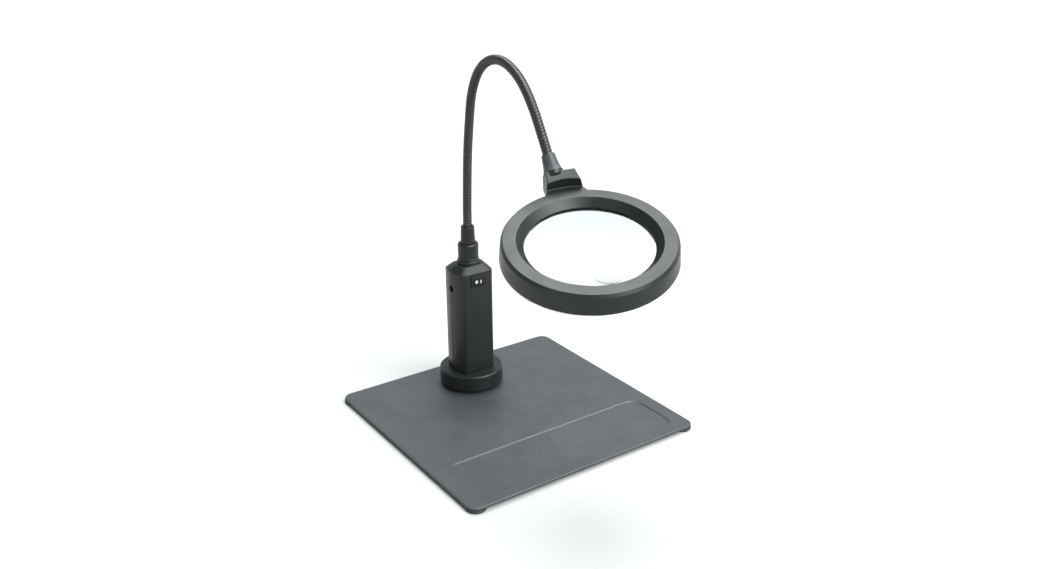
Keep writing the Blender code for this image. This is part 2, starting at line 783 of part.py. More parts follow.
def make_bracket(body, head, entry):
    """The block behind the ring: a base flush with the ring's top, and a roof-shaped block on it."""
    block = (
        (66.0, -6.0, -16.0, 16.8),
        (66.0, 0.1, -16.0, 18.0),
        (79.4, 14.7, -14.8, 10.2),
        (90.0, 4.1, -14.8, 10.6),
        (88.0, -9.2, -14.8, 13.5),
        (78.0, -8.6, -15.4, 15.2),
    )
    base = (
        (64.0, -9.2, -20.0, 20.0),
        (64.0, -0.1, -19.5, 19.5),
        (82.0, -0.1, -12.0, 12.0),
        (82.0, -8.8, -12.4, 12.4),
    )
    bracket = add_object("head_bracket", side_loft(block), "housing_plastic", body, head)
    boolean(bracket, add_cutter("bracket_base", side_loft(base), head), "UNION")
    boss = revolve(
        [
            (0, FERRULE_LENGTH + GAP),
            (8.2 * MM, FERRULE_LENGTH + GAP),
            (8.4 * MM, FERRULE_LENGTH + 1.6 * MM),
            (0, FERRULE_LENGTH + 8 * MM),
        ],
        24,
    )
    seat = cylinder(8.8 * MM, -10 * MM, FERRULE_LENGTH + GAP)
    boolean(bracket, add_cutter("ferrule_seat", seat, entry))
    boolean(bracket, add_cutter("bracket_boss", boss, entry), "UNION")
    space = [(0, -30 * MM), (72.8 * MM, -30 * MM)]
    space += [(r + GAP, z) for r, z in RING_WALL]
    space += [(74.6 * MM, 0), (74.0 * MM, 9 * MM), (74.0 * MM, 20 * MM), (0, 20 * MM)]
    boolean(bracket, add_cutter("ring_space", revolve(space, RING_STEPS), head))
    channel = sweep(lead_way(head, entry), LEAD_WAY_RADIUS, 16)
    boolean(bracket, add_cutter("bracket_channel", channel))


def side_loft(corners):
    """A block with these side-view corners: (distance behind, height, left, right) in millimetres."""
    left = [(x * MM, y * MM, z * MM) for y, z, x, _ in corners]
    right = [(x * MM, y * MM, z * MM) for y, z, _, x in corners]
    return loft([left, right])


# Outer wall of the ring's upper shell, from the bottom up: (radius, height).
RING_WALL = (
    (72.4 * MM, RING_BOTTOM + 0.9 * MM),
    (71.1 * MM, -2.6 * MM),
    (RING_TOP_RADIUS, 0),
)


def head_screw_places():
    """Three screws, spread so that none is where the lead comes in."""
    for name, degrees in (("left", 216), ("right", 324), ("back", 72)):
        angle = math.radians(degrees)
        yield name, HEAD_SCREW_CIRCLE * math.cos(angle), HEAD_SCREW_CIRCLE * math.sin(angle)


def at_head_screws(radius, low, high):
    """A cylinder at each of the ring's screws."""
    placed = []
    for _, x, y in head_screw_places():
        placed.append((cylinder(radius, low, high, 12), Matrix.Translation((x, y, 0))))
    return together(placed)


def make_top_ring(body, head, entry):
    """The upper shell: its outer wall runs down to the ring's underside."""
    profile = [(71.7 * MM, RING_BOTTOM)] + list(RING_WALL) + [
        (58.5 * MM, 0),
        (52.4 * MM, -6.6 * MM),
        (52.4 * MM, -7.5 * MM),
        (55.4 * MM, -7.5 * MM),
        (55.4 * MM, -11.2 * MM),
        (57.2 * MM, -11.2 * MM),
        (57.2 * MM, -4.6 * MM),
        (59.6 * MM, -2.2 * MM),
        (68.2 * MM, -2.2 * MM),
        (69.3 * MM, -3.4 * MM),
        (70.4 * MM, RING_BOTTOM),
    ]
    ring = add_object("head_top_ring", revolve(profile, RING_STEPS), "housing_plastic", body, head)
    posts = at_head_screws(2.8 * MM, RING_SPLIT, -1.5 * MM)
    boolean(ring, add_cutter("ring_posts", posts, head), "UNION")
    pilots = at_head_screws(1.4 * MM, RING_SPLIT - MM, -3.6 * MM)
    boolean(ring, add_cutter("ring_pilots", pilots, head))
    channel = sweep(lead_way(head, entry)[-2:], LEAD_WAY_RADIUS, 16)
    boolean(ring, add_cutter("ring_channel", channel))


def make_bottom_ring(body, head):
    """The lower shell: a deck under the screw posts, with a wall down each side of the lamps."""
    deck = RING_SPLIT - GAP
    under = deck - 1.2 * MM
    profile = [
        (58.6 * MM, RING_BOTTOM),
        (60.1 * MM, RING_BOTTOM),
        (60.1 * MM, under),
        (68.1 * MM, under),
        (68.1 * MM, RING_BOTTOM),
        (69.9 * MM, RING_BOTTOM),
        (69.4 * MM, deck),
        (58.6 * MM, deck),
    ]
    ring = add_object("head_bottom_ring", revolve(profile, RING_STEPS), "housing_plastic", body, head)
    boolean(ring, add_cutter("deck_holes", at_head_screws(1.5 * MM, under - MM, deck + MM), head))


def make_head_screws(body, head):
    seat = RING_SPLIT - GAP - 1.2 * MM - GAP
    shaft = 1.05 * MM
    for name, x, y in head_screw_places():
        screw = revolve(
            [(0, seat - 1.4 * MM), (2.2 * MM, seat - 1.4 * MM), (2.2 * MM, seat), (shaft, seat)]
            + [(shaft, -4.4 * MM), (0, -4.4 * MM)],
            12,
        )
        place = head @ Matrix.Translation((x, y, 0))
        add_object(f"head_screw_{name}", screw, "bare_steel", body, place)


def dome(radius, curve_radius, steps):
    """(radius, rise) points of a shallow spherical cap, from its rim to its middle."""
    rim = math.sqrt(curve_radius**2 - radius**2)
    points = []
    for i in range(steps + 1):
        r = radius * (1 - i / steps)
        points.append((r, math.sqrt(curve_radius**2 - r**2) - rim))
    return points


def make_lens(body, head):
    """A biconvex reading lens with a flat rim, and a stronger small lens standing on its underside."""
    low = LENS_EDGE_TOP - LENS_EDGE
    arc = dome(LENS_OPENING, LENS_CURVE_RADIUS, 4)
    profile = [(LENS_RADIUS, low), (LENS_RADIUS, LENS_EDGE_TOP)]
    profile += [(r, LENS_EDGE_TOP + rise) for r, rise in arc]
    profile += [(r, low - rise) for r, rise in arc[::-1]]
    lens = add_object("lens", revolve(profile, RING_STEPS), "lens_acrylic", body, head)
    cap = dome(SPOT_LENS_RADIUS, SPOT_LENS_CURVE_RADIUS, 3)
    spot = revolve(
        [(0, 1.2 * MM), (SPOT_LENS_RADIUS, 1.2 * MM)] + [(r, -0.3 * MM - rise) for r, rise in cap],
        20,
    )
    centre = Vector((0, 0, low + math.sqrt(LENS_CURVE_RADIUS**2 - LENS_OPENING**2)))
    tilt = math.asin(SPOT_LENS_PLACE.length / LENS_CURVE_RADIUS)
    turn = Matrix.Rotation(tilt, 4, SPOT_LENS_PLACE.cross(Vector((0, 0, 1))))
    place = Matrix.Translation(centre) @ turn @ Matrix.Translation((0, 0, -LENS_CURVE_RADIUS))
    boolean(lens, add_cutter("spot_lens", spot, head @ place), "UNION")
    top = low - GAP
    retainer = revolve(
        [
            (53.2 * MM, top),
            (54.9 * MM, top),
            (54.9 * MM, -11.5 * MM),
            (58.2 * MM, -11.5 * MM),
            (58.2 * MM, -12.8 * MM),
            (53.2 * MM, -12.8 * MM),
        ],
        RING_STEPS,
    )
    add_object("lens_retainer", retainer, "housing_plastic", body, head)


def make_lights(body, head):
    """The ring board with its lamps, and the milky ring that spreads their light and covers the underside."""
    top = RING_SPLIT - 2 * GAP - 1.2 * MM
    low = top - 1.2 * MM
    flat = tube(67.8 * MM, 60.5 * MM, low, top, RING_STEPS)
    board = add_object("led_board", flat, "led_board", body, head)
    boolean(board, add_cutter("board_holes", at_head_screws(2.6 * MM, low - MM, top + MM), head))
    lamps = []
    for i in range(LED_COUNT):
        turn = Matrix.Rotation(2 * math.pi * (i + 0.5) / LED_COUNT, 4, "Z")
        lamp = box((63.6 * MM, -1.5 * MM, low - 0.9 * MM), (66.4 * MM, 1.5 * MM, low + 0.2 * MM))
        lamps.append((lamp, turn))
    boolean(board, add_cutter("leds", together(lamps), head), "UNION")
    diffuser = revolve(
        [
            (60.4 * MM, RING_BOTTOM + 1.4 * MM),
            (60.4 * MM, RING_BOTTOM - 0.6 * MM),
            (61.2 * MM, RING_BOTTOM - 1.3 * MM),
            (71.6 * MM, RING_BOTTOM - 1.3 * MM),
            (72.2 * MM, RING_BOTTOM - 0.8 * MM),
            (72.2 * MM, RING_BOTTOM - GAP),
            (67.8 * MM, RING_BOTTOM - GAP),
            (67.8 * MM, RING_BOTTOM + 1.4 * MM),
        ],
        RING_STEPS,
    )
    add_object("diffuser_ring", diffuser, "diffuser_acrylic", body, head)


# ================================================================ the whole object
def main():
    clear_scene()
    frames = neck_frames()
    neck_end, end_angle = frames[-1]
    swivel = joint_empty("base_swivel", Vector((0, LAMP_AXIS_Y, PLATE_TOP)))
    rocker_pivot = joint_empty("rocker_pivot", rocker_frame().translation, swivel)
    cover_middle = Vector((0, LAMP_AXIS_Y + HALF_DEPTH, (BAY_BOTTOM + BAY_TOP) / 2))
    cover_slide = joint_empty("cover_slide", cover_middle, swivel)
    bodies = [swivel]
    for index in range(1, len(LINK_BENDS)):
        bodies.append(joint_empty(f"neck_joint_{index}", frames[index][0], bodies[-1]))
    head_body = bodies[-1]
    head = head_matrix(neck_end)
    entry = entry_frame(neck_end, end_angle)

    make_plate()
    make_feet()
    make_foot_disc(swivel)
    make_shells(swivel)
    make_shell_screws(swivel)
    make_handle_foot(swivel)
    make_battery_bay(swivel, cover_slide)
    make_driver_board(swivel)
    make_switch(swivel, rocker_pivot)
    make_jack(swivel)
    make_neck_base(swivel)
    make_neck(frames, bodies, head, entry)
    make_upper_ferrule(head_body, entry)
    make_bracket(head_body, head, entry)
    make_top_ring(head_body, head, entry)
    make_bottom_ring(head_body, head)
    make_head_screws(head_body, head)
    make_lens(head_body, head)
    make_lights(head_body, head)


main()
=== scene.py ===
"""Looks of the gooseneck desk magnifier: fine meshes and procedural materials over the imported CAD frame.

Metres, +Z up, +Y away from the user. Lengths in millimetres are written as numbers times MM.
"""

import json
from math import asin, atan2, copysign, cos, pi, radians, sin, sqrt, tan

import bmesh
import bpy
from mathutils import Matrix, Vector

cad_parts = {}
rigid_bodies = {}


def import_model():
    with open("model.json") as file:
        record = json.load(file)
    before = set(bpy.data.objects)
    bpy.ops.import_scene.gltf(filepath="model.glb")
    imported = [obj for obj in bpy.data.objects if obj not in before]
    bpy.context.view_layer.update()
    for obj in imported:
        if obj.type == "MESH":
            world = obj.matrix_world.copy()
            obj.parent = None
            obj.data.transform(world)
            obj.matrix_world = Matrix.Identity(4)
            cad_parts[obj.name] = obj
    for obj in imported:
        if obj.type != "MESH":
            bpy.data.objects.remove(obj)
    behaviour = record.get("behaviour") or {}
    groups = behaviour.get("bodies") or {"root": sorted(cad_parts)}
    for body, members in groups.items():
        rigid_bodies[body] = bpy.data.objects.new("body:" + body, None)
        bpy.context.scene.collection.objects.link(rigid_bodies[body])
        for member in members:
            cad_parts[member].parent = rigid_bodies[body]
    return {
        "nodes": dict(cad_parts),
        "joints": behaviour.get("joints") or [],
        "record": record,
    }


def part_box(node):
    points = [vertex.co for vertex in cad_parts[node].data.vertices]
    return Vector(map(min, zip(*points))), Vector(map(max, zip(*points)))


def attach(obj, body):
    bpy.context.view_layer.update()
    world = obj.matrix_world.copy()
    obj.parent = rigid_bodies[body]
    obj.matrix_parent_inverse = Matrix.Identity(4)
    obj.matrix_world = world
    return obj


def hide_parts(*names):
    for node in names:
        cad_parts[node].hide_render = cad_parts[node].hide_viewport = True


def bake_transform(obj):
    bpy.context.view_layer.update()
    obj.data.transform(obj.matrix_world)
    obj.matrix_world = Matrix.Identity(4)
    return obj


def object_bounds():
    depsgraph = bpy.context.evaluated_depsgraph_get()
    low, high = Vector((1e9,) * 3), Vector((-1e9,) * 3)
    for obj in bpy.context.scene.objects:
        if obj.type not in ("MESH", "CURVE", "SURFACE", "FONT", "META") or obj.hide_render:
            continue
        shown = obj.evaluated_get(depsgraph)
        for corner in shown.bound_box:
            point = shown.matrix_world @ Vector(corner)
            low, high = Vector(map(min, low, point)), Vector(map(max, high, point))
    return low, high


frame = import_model()
cad_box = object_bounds()

MM = 0.001
HAIRLINE = 0.05 * MM  # half of the gap left at a parting line
SHARP_ANGLE = 38  # edges that turn by more degrees stay sharp
NOUGHT = 1e-6  # a bend or radius below this counts as none

# -------- places read from the frame
PLATE_LOW, PLATE_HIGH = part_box("base_plate")
DISC_LOW, DISC_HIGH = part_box("base_disc")
SHELL_LOW, SHELL_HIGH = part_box("front_shell")
COVER_LOW, COVER_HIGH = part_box("battery_cover")
SWITCH_LOW, SWITCH_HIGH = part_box("switch_body")
FLANGE_LOW, FLANGE_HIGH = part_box("neck_flange")
COLLAR_LOW, COLLAR_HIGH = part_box("neck_collar")
SLEEVE_LOW, SLEEVE_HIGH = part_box("lower_ferrule")
JACK_LOW, JACK_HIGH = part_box("dc_jack")
JOINTS = {joint["name"]: joint for joint in frame["joints"]}
NECK_JOINTS = [joint for joint in frame["joints"]
               if joint["child"].startswith("neck_") or joint["child"] == "head"]

PLATE_TOP = PLATE_HIGH.z
AXIS = Vector(((DISC_LOW.x + DISC_HIGH.x) / 2, (DISC_LOW.y + DISC_HIGH.y) / 2, 0))
OBJECT_MIDDLE = Vector((0, 0, cad_box[1][2] / 2))
JACK_Z = (JACK_LOW.z + JACK_HIGH.z) / 2
SWITCH_Z = (SWITCH_LOW.z + SWITCH_HIGH.z) / 2

# Turns that lay +Z towards the back, the front and the left.
TO_BACK = Matrix.Rotation(radians(-90), 4, "X")
TO_FRONT = Matrix.Rotation(radians(90), 4, "X")
TO_LEFT = Matrix.Rotation(radians(-90), 4, "Y")

# Every finish by name, as (slot, material). make_finishes fills it.
FINISHES = {}

# -------- driving dimensions
# Those that the CAD has too have its values, except SPOT_CURVE.
PLATE_CORNER = 9 * MM
TRAY_WIDTH = 220 * MM
TRAY_DEPTH = 59 * MM
TRAY_FROM_FRONT = 12 * MM
TRAY_CORNER = 13 * MM
TRAY_RECESS = 1.0 * MM
SEAM_HALF_WIDTH = 20.8 * MM
FLAT_HALF_WIDTH = 17.0 * MM
HALF_DEPTH = 17.4 * MM
SHELL_WALL = 2.0 * MM
ROOF_RISE = 6.0 * MM
ROOF_INSET = 6.2 * MM
ROOF_TOP = SHELL_HIGH.z
HANDLE_EDGE = ROOF_TOP - ROOF_RISE
SHELL_SCREW_X = 11 * MM
SHELL_SCREW_Z = PLATE_TOP + 98 * MM
ROCKER_RADIUS = 6.1 * MM
ROCKER_TILT = radians(7)
JACK_BORE = 3.05 * MM
NECK_RADIUS = 4.45 * MM
RIB_PITCH = 2.9 * MM
RIB_DEPTH = 0.75 * MM
RIB_FLATNESS = 0.35  # 1 rounds the ribs like a sine wave, and less flattens their crests
NECK_START = SLEEVE_HIGH.z - 2.5 * MM
NECK_HOLE = 6.8 * MM
HEAD_YAW = radians(-20.1)
HEAD_NOD = radians(16.3)
HEAD_ROLL = radians(-4.6)
NECK_ENTRY = Vector((-8.4, 94.7, 20.1)) * MM
FERRULE_LENGTH = 14 * MM
NECK_IN_FERRULE = 11 * MM
RING_SPLIT = -9.8 * MM
RING_BOTTOM = -18.1 * MM
LENS_TOP = -7.8 * MM
LENS_EDGE = 2.8 * MM
LENS_OPENING = 52.1 * MM
LENS_CURVE = 700 * MM
SPOT_RADIUS = 12 * MM
SPOT_CURVE = 110 * MM  # the CAD's 60 mm would show its outline too much
SPOT_PLACE = Vector((4, -35, 0)) * MM


# ======== mesh tools
def rounded(corners, steps=4):
    """The points of a closed outline of (x, y, radius) corners, with those that have a radius rounded."""
    points = []
    for i, (x, y, radius) in enumerate(corners):
        corner = Vector((x, y))
        if radius == 0:
            points.append((x, y))
            continue
        back = Vector(corners[i - 1][:2]) - corner
        ahead = Vector(corners[(i + 1) % len(corners)][:2]) - corner
        half = back.angle(ahead) / 2
        nearly_half = 0.48
        reach = min(radius / tan(half), nearly_half * back.length, nearly_half * ahead.length)
        centre = corner + (back.normalized() + ahead.normalized()).normalized() * (reach / cos(half))
        start = corner + back.normalized() * reach - centre
        turn = start.angle_signed(corner + ahead.normalized() * reach - centre)
        for k in range(steps + 1):
            angle = -turn * k / steps
            spoke = Vector((
                start.x * cos(angle) - start.y * sin(angle),
                start.x * sin(angle) + start.y * cos(angle),
            ))
            points.append(tuple(centre + spoke))
    return points


def loft(loops):
    """A skin through loops of equal length, capped at both ends."""
    bm = bmesh.new()
    rings = [[bm.verts.new(point) for point in loop] for loop in loops]
    for low, high in zip(rings, rings[1:]):
        for i in range(len(low)):
            j = (i + 1) % len(low)
            bm.faces.new((low[i], low[j], high[j], high[i]))
    bm.faces.new(rings[0])
    bm.faces.new(rings[-1])
    return bm


def lathe(profile, steps=96):
    """Turns a closed (radius, height) profile about Z. A point of radius 0 is a pole."""
    bm = bmesh.new()
    columns = []
    for radius, height in profile:
        if radius < NOUGHT:
            columns.append([bm.verts.new((0, 0, height))] * steps)
            continue
        angles = [2 * pi * i / steps for i in range(steps)]
        columns.append([bm.verts.new((radius * cos(a), radius * sin(a), height)) for a in angles])
    for first, second in zip(columns, columns[1:] + columns[:1]):
        for i in range(steps):
            j = (i + 1) % steps
            corners = []
            for vertex in (first[i], first[j], second[j], second[i]):
                if vertex not in corners:
                    corners.append(vertex)
            if len(corners) > 2:
                bm.faces.new(corners)
    return bm


def prism(outline, low, high):
    return loft([[(x, y, z) for x, y in outline] for z in (low, high)])


def soft_prism(corners, low, high, edge, steps=4):
    """An upright prism whose outline corners are rounded, with its top and bottom edges rounded by edge."""
    profile = rounded([(edge * 3, low, 0), (0, low, edge), (0, high, edge), (edge * 3, high, 0)], 3)
    loops = []
    for inset, z in profile:
        loops.append([(x, y, z) for x, y in rounded(shrunk(corners, inset), steps)])
    return loft(loops)


def shrunk(corners, inset):
    """A rectangle's or symmetric outline's corners moved inwards by inset along both axes."""
    return [(x - copysign(inset, x), y - copysign(inset, y), max(r - inset, r / 2)) for x, y, r in corners]


def rectangle(half_x, half_y, radius):
    return [(half_x, half_y, radius), (-half_x, half_y, radius),
            (-half_x, -half_y, radius), (half_x, -half_y, radius)]


def box(low, high):
    outline = [(low[0], low[1]), (high[0], low[1]), (high[0], high[1]), (low[0], high[1])]
    return prism(outline, low[2], high[2])


def make_object(name, bm, place=None, sharp=SHARP_ANGLE):
    bmesh.ops.recalc_face_normals(bm, faces=bm.faces)
    mesh = bpy.data.meshes.new(name)
    bm.to_mesh(mesh)
    bm.free()
    mesh.transform(place or Matrix.Identity(4))
    mesh.shade_smooth()
    mesh.set_sharp_from_angle(angle=radians(sharp))
    made = bpy.data.objects.new(name, mesh)
    bpy.context.scene.collection.objects.link(made)
    return made


def apply_modifiers(obj):
    """Turns the object's modifiers into its mesh."""
    graph = bpy.context.evaluated_depsgraph_get()
    mesh = bpy.data.meshes.new_from_object(obj.evaluated_get(graph))
    obj.modifiers.clear()
    obj.data = mesh
    mesh.shade_smooth()
    mesh.set_sharp_from_angle(angle=radians(SHARP_ANGLE))


def boolean(obj, bm, operation="DIFFERENCE", place=None):
    """Cuts a mesh from the object, or joins it to it."""
    cutter = make_object("cutter", bm, place)
    modifier = obj.modifiers.new("boolean", "BOOLEAN")
    modifier.object = cutter
    modifier.operation = operation
    modifier.solver = "EXACT"
    apply_modifiers(obj)
    bpy.data.objects.remove(cutter)


def bevel(obj, width, angle):
    modifier = obj.modifiers.new("bevel", "BEVEL")
    modifier.width = width
    modifier.segments = 3
    modifier.limit_method = "ANGLE"
    modifier.angle_limit = radians(angle)
    modifier.use_clamp_overlap = True
    apply_modifiers(obj)


def finish_piece(obj, body, finish, *replaced):
    """Gives the piece its material and its body, and hides the CAD nodes that it stands for."""
    slot, material = FINISHES[finish]
    weighted = obj.modifiers.new("weighted_normals", "WEIGHTED_NORMAL")
    weighted.keep_sharp = True
    obj.data.materials.clear()
    obj.data.materials.append(material)
    if body:
        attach(obj, body)
    if replaced:
        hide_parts(*replaced)


def turned(name, corners, steps, place, body, finish, *replaced):
    """A piece turned about its own Z from (radius, height, rounding) corners."""
    finish_piece(make_object(name, lathe(rounded(corners), steps), place), body, finish, *replaced)


def at_axis(z=0.0):
    """A place on the lamp's upright axis."""
    return Matrix.Translation((AXIS.x, AXIS.y, z))


# ======== materials
class Nodes:
    """A material being built: its node tree and its Principled BSDF."""

    def __init__(self, name, colour, roughness, metallic=0.0):
        self.material = bpy.data.materials.new(name)
        self.material.use_nodes = True
        self.tree = self.material.node_tree
        self.shader = self.tree.nodes["Principled BSDF"]
        self.shader.inputs["Base Color"].default_value = (*colour, 1)
        self.shader.inputs["Roughness"].default_value = roughness
        self.shader.inputs["Metallic"].default_value = metallic
        self.place = self.tree.nodes.new("ShaderNodeTexCoord").outputs["Object"]

    def add(self, kind, **values):
        """A new node, with its inputs set or linked by name and its other settings by attribute."""
        node = self.tree.nodes.new(kind)
        for key, value in values.items():
            if key in node.inputs:
                self.give(node.inputs[key], value)
            else:
                setattr(node, key, value)
        return node

    def give(self, socket, value):
        if isinstance(value, bpy.types.NodeSocket):
            self.tree.links.new(value, socket)
        else:
            socket.default_value = value

    def noise(self, size, detail=3.0, roughness=0.55):
        """Noise whose largest features are about size across."""
        node = self.add("ShaderNodeTexNoise", Vector=self.place, Scale=1 / size, Detail=detail,
                        Roughness=roughness)
        return node.outputs["Fac"]

    def stretched(self, size, along, detail=2.0):
        """Noise with one scale on each axis."""
        mapping = self.add("ShaderNodeMapping", Vector=self.place, Scale=tuple(1 / s for s in along))
        node = self.add("ShaderNodeTexNoise", Vector=mapping.outputs["Vector"], Scale=1 / size, Detail=detail)
        return node.outputs["Fac"]

    def spread(self, value, low, high, out_low, out_high):
        node = self.add("ShaderNodeMapRange", Value=value)
        for key, number in (("From Min", low), ("From Max", high), ("To Min", out_low), ("To Max", out_high)):
            node.inputs[key].default_value = number
        return node.outputs["Result"]

    def blend(self, share, first, second):
        node = self.tree.nodes.new("ShaderNodeMix")
        node.data_type = "RGBA"
        self.give(node.inputs["Factor"], share)
        for socket, colour in ((node.inputs[6], first), (node.inputs[7], second)):
            self.give(socket, colour if isinstance(colour, bpy.types.NodeSocket) else (*colour, 1))
        return node.outputs[2]

    def colour(self, socket):
        self.give(self.shader.inputs["Base Color"], socket)

    def roughness(self, socket):
        self.give(self.shader.inputs["Roughness"], socket)

    def patches(self, size, low=0.4, high=0.6):
        """Patches about size across, from 0 to 1. The nearer low and high are, the sharper their edges."""
        return self.spread(self.noise(size), low, high, 0, 1)

    def gloss(self, low, high, size, detail=3.0):
        """Roughness that wanders between low and high."""
        self.roughness(self.spread(self.noise(size, detail), 0.3, 0.7, low, high))

    def bump(self, height, distance, strength):
        node = self.add("ShaderNodeBump", Height=height, Distance=distance, Strength=strength)
        self.give(self.shader.inputs["Normal"], node.outputs["Normal"])

    def edges(self, low, high):
        """1 on outer edges and 0 elsewhere, from the mesh's own pointiness."""
        return self.spread(self.add("ShaderNodeNewGeometry").outputs["Pointiness"], low, high, 0, 1)


def powder_coat():
    """Satin grey powder paint on steel: fine orange peel, faint mottling and lighter specks."""
    n = Nodes("powder_coat", (0.027, 0.030, 0.033), 0.42)
    mottle = n.patches(60 * MM, 0.35, 0.65)
    base = n.blend(mottle, (0.024, 0.0275, 0.031), (0.029, 0.033, 0.037))
    speck = n.spread(n.noise(0.9 * MM, 2), 0.62, 0.72, 0, 0.5)
    n.colour(n.blend(speck, base, (0.055, 0.060, 0.064)))
    n.gloss(0.38, 0.47, 14 * MM, 4)
    n.bump(n.noise(1.1 * MM, 2), 0.02 * MM, 0.8)
    return n.material


def moulded_plastic(name, colour, roughness, grain=0.6 * MM, depth=0.012 * MM):
    """Moulded plastic with spark-eroded grain, uneven gloss and edges polished by handling."""
    n = Nodes(name, colour, roughness)
    n.shader.inputs["Specular IOR Level"].default_value = 0.30
    light = tuple(c * 1.22 for c in colour)
    dark = tuple(c * 0.88 for c in colour)
    base = n.blend(n.patches(35 * MM, 0.35, 0.65), dark, light)
    rubbed = n.edges(0.53, 0.60)
    n.colour(n.blend(rubbed, base, tuple(c * 1.8 for c in colour)))
    smudge = n.spread(n.noise(22 * MM, 5, 0.6), 0.35, 0.7, roughness - 0.04, roughness + 0.06)
    n.roughness(smudge)
    n.bump(n.noise(grain, 3), depth, 0.7)
    return n.material


def neck_wire():
    """Black-plated spring wire: a dull metal sheen, drawn lines along it and plating worn on the crests."""
    n = Nodes("neck_wire", (0.020, 0.021, 0.022), 0.30, 0.3)
    drawn = n.stretched(0.5 * MM, (1, 1, 0.3))
    base = n.blend(n.spread(drawn, 0.3, 0.7, 0, 1), (0.010, 0.0105, 0.011), (0.024, 0.025, 0.026))
    n.colour(n.blend(n.edges(0.54, 0.62), base, (0.10, 0.10, 0.105)))
    n.gloss(0.26, 0.38, 3 * MM, 4)
    n.bump(drawn, 0.01 * MM, 0.5)
    return n.material


def plated_steel(name="plated_steel", tint=(0.58, 0.59, 0.60)):
    """Zinc or nickel plate: brushed lines and uneven gloss."""
    n = Nodes(name, tint, 0.28, 1.0)
    brushed = n.stretched(0.4 * MM, (1, 6, 1), 4)
    n.colour(n.blend(n.spread(brushed, 0.3, 0.7, 0, 1), tuple(c * 0.82 for c in tint), tint))
    n.gloss(0.22, 0.38, 2 * MM, 4)
    n.bump(brushed, 0.006 * MM, 0.6)
    return n.material


def foot_rubber():
    n = Nodes("foot_rubber", (0.020, 0.020, 0.021), 0.72)
    dust = n.spread(n.noise(2.5 * MM, 5), 0.52, 0.75, 0, 0.6)
    n.colour(n.blend(dust, (0.018, 0.018, 0.019), (0.050, 0.050, 0.049)))
    n.gloss(0.62, 0.80, 1.5 * MM)
    n.bump(n.noise(0.35 * MM, 3), 0.03 * MM, 0.8)
    return n.material


def mark_paint():
    n = Nodes("mark_paint", (0.80, 0.81, 0.80), 0.5)
    n.colour(n.blend(n.patches(0.5 * MM), (0.72, 0.73, 0.72), (0.84, 0.85, 0.84)))
    n.bump(n.noise(0.2 * MM), 0.005 * MM, 0.5)
    return n.material


def lens_acrylic():
    """Clear optical acrylic with a faint cool tint: coated against glare, with the slightest uneven gloss."""
    n = Nodes("lens_acrylic", (0.70, 0.73, 0.74), 0.01)
    n.shader.inputs["Specular Tint"].default_value = (0.06, 0.06, 0.06, 1)
    n.shader.inputs["Transmission Weight"].default_value = 1.0
    n.shader.inputs["IOR"].default_value = 1.49
    n.colour(n.blend(n.patches(30 * MM), (0.738, 0.760, 0.772), (0.750, 0.772, 0.784)))
    n.roughness(n.spread(n.noise(18 * MM, 4), 0.45, 0.75, 0.0, 0.02))
    return n.material


def milky_acrylic():
    """White diffusing acrylic: light scatters inside it, and its face is finely frosted."""
    n = Nodes("milky_acrylic", (0.86, 0.88, 0.87), 0.38)
    n.shader.inputs["Subsurface Weight"].default_value = 0.5
    n.shader.inputs["Subsurface Scale"].default_value = 2 * MM
    n.shader.inputs["IOR"].default_value = 1.49
    n.colour(n.blend(n.patches(12 * MM, 0.35, 0.65), (0.83, 0.86, 0.85), (0.88, 0.90, 0.89)))
    n.gloss(0.34, 0.44, 4 * MM)
    n.bump(n.noise(0.3 * MM, 2), 0.01 * MM, 0.6)
    return n.material


def solder_mask(name, colour, track):
    """A circuit board's lacquer, with the copper tracks under it showing as lighter bands."""
    n = Nodes(name, colour, 0.35)
    wave = n.add("ShaderNodeTexWave", Vector=n.place, Scale=90, Distortion=12, Detail=1)
    wave.inputs["Detail Scale"].default_value = 0.4
    tracks = n.spread(wave.outputs["Fac"], 0.62, 0.68, 0, 1)
    n.colour(n.blend(tracks, colour, track))
    n.gloss(0.28, 0.42, 3 * MM)
    n.bump(tracks, 0.03 * MM, 0.7)
    return n.material


def cell_jacket():
    """Printed film round a dry cell, plain, with a lighter band at the raised end."""
    n = Nodes("cell_jacket", (0.06, 0.075, 0.12), 0.3, 0.35)
    height = n.add("ShaderNodeSeparateXYZ", Vector=n.place).outputs["Z"]
    band = n.spread(height, PLATE_TOP + 64 * MM, PLATE_TOP + 64.3 * MM, 0, 1)
    body = n.blend(n.patches(1.2 * MM), (0.050, 0.065, 0.110), (0.066, 0.082, 0.130))
    n.colour(n.blend(band, body, (0.42, 0.44, 0.46)))
    n.gloss(0.24, 0.38, 6 * MM)
    n.bump(n.noise(2.5 * MM), 0.02 * MM, 0.4)
    return n.material


def lead_vinyl():
    n = Nodes("lead_vinyl", (0.018, 0.018, 0.018), 0.5)
    n.colour(n.blend(n.patches(4 * MM), (0.015, 0.015, 0.015), (0.026, 0.026, 0.026)))
    n.gloss(0.42, 0.58, 2 * MM)
    n.bump(n.noise(0.5 * MM), 0.01 * MM, 0.6)
    return n.material


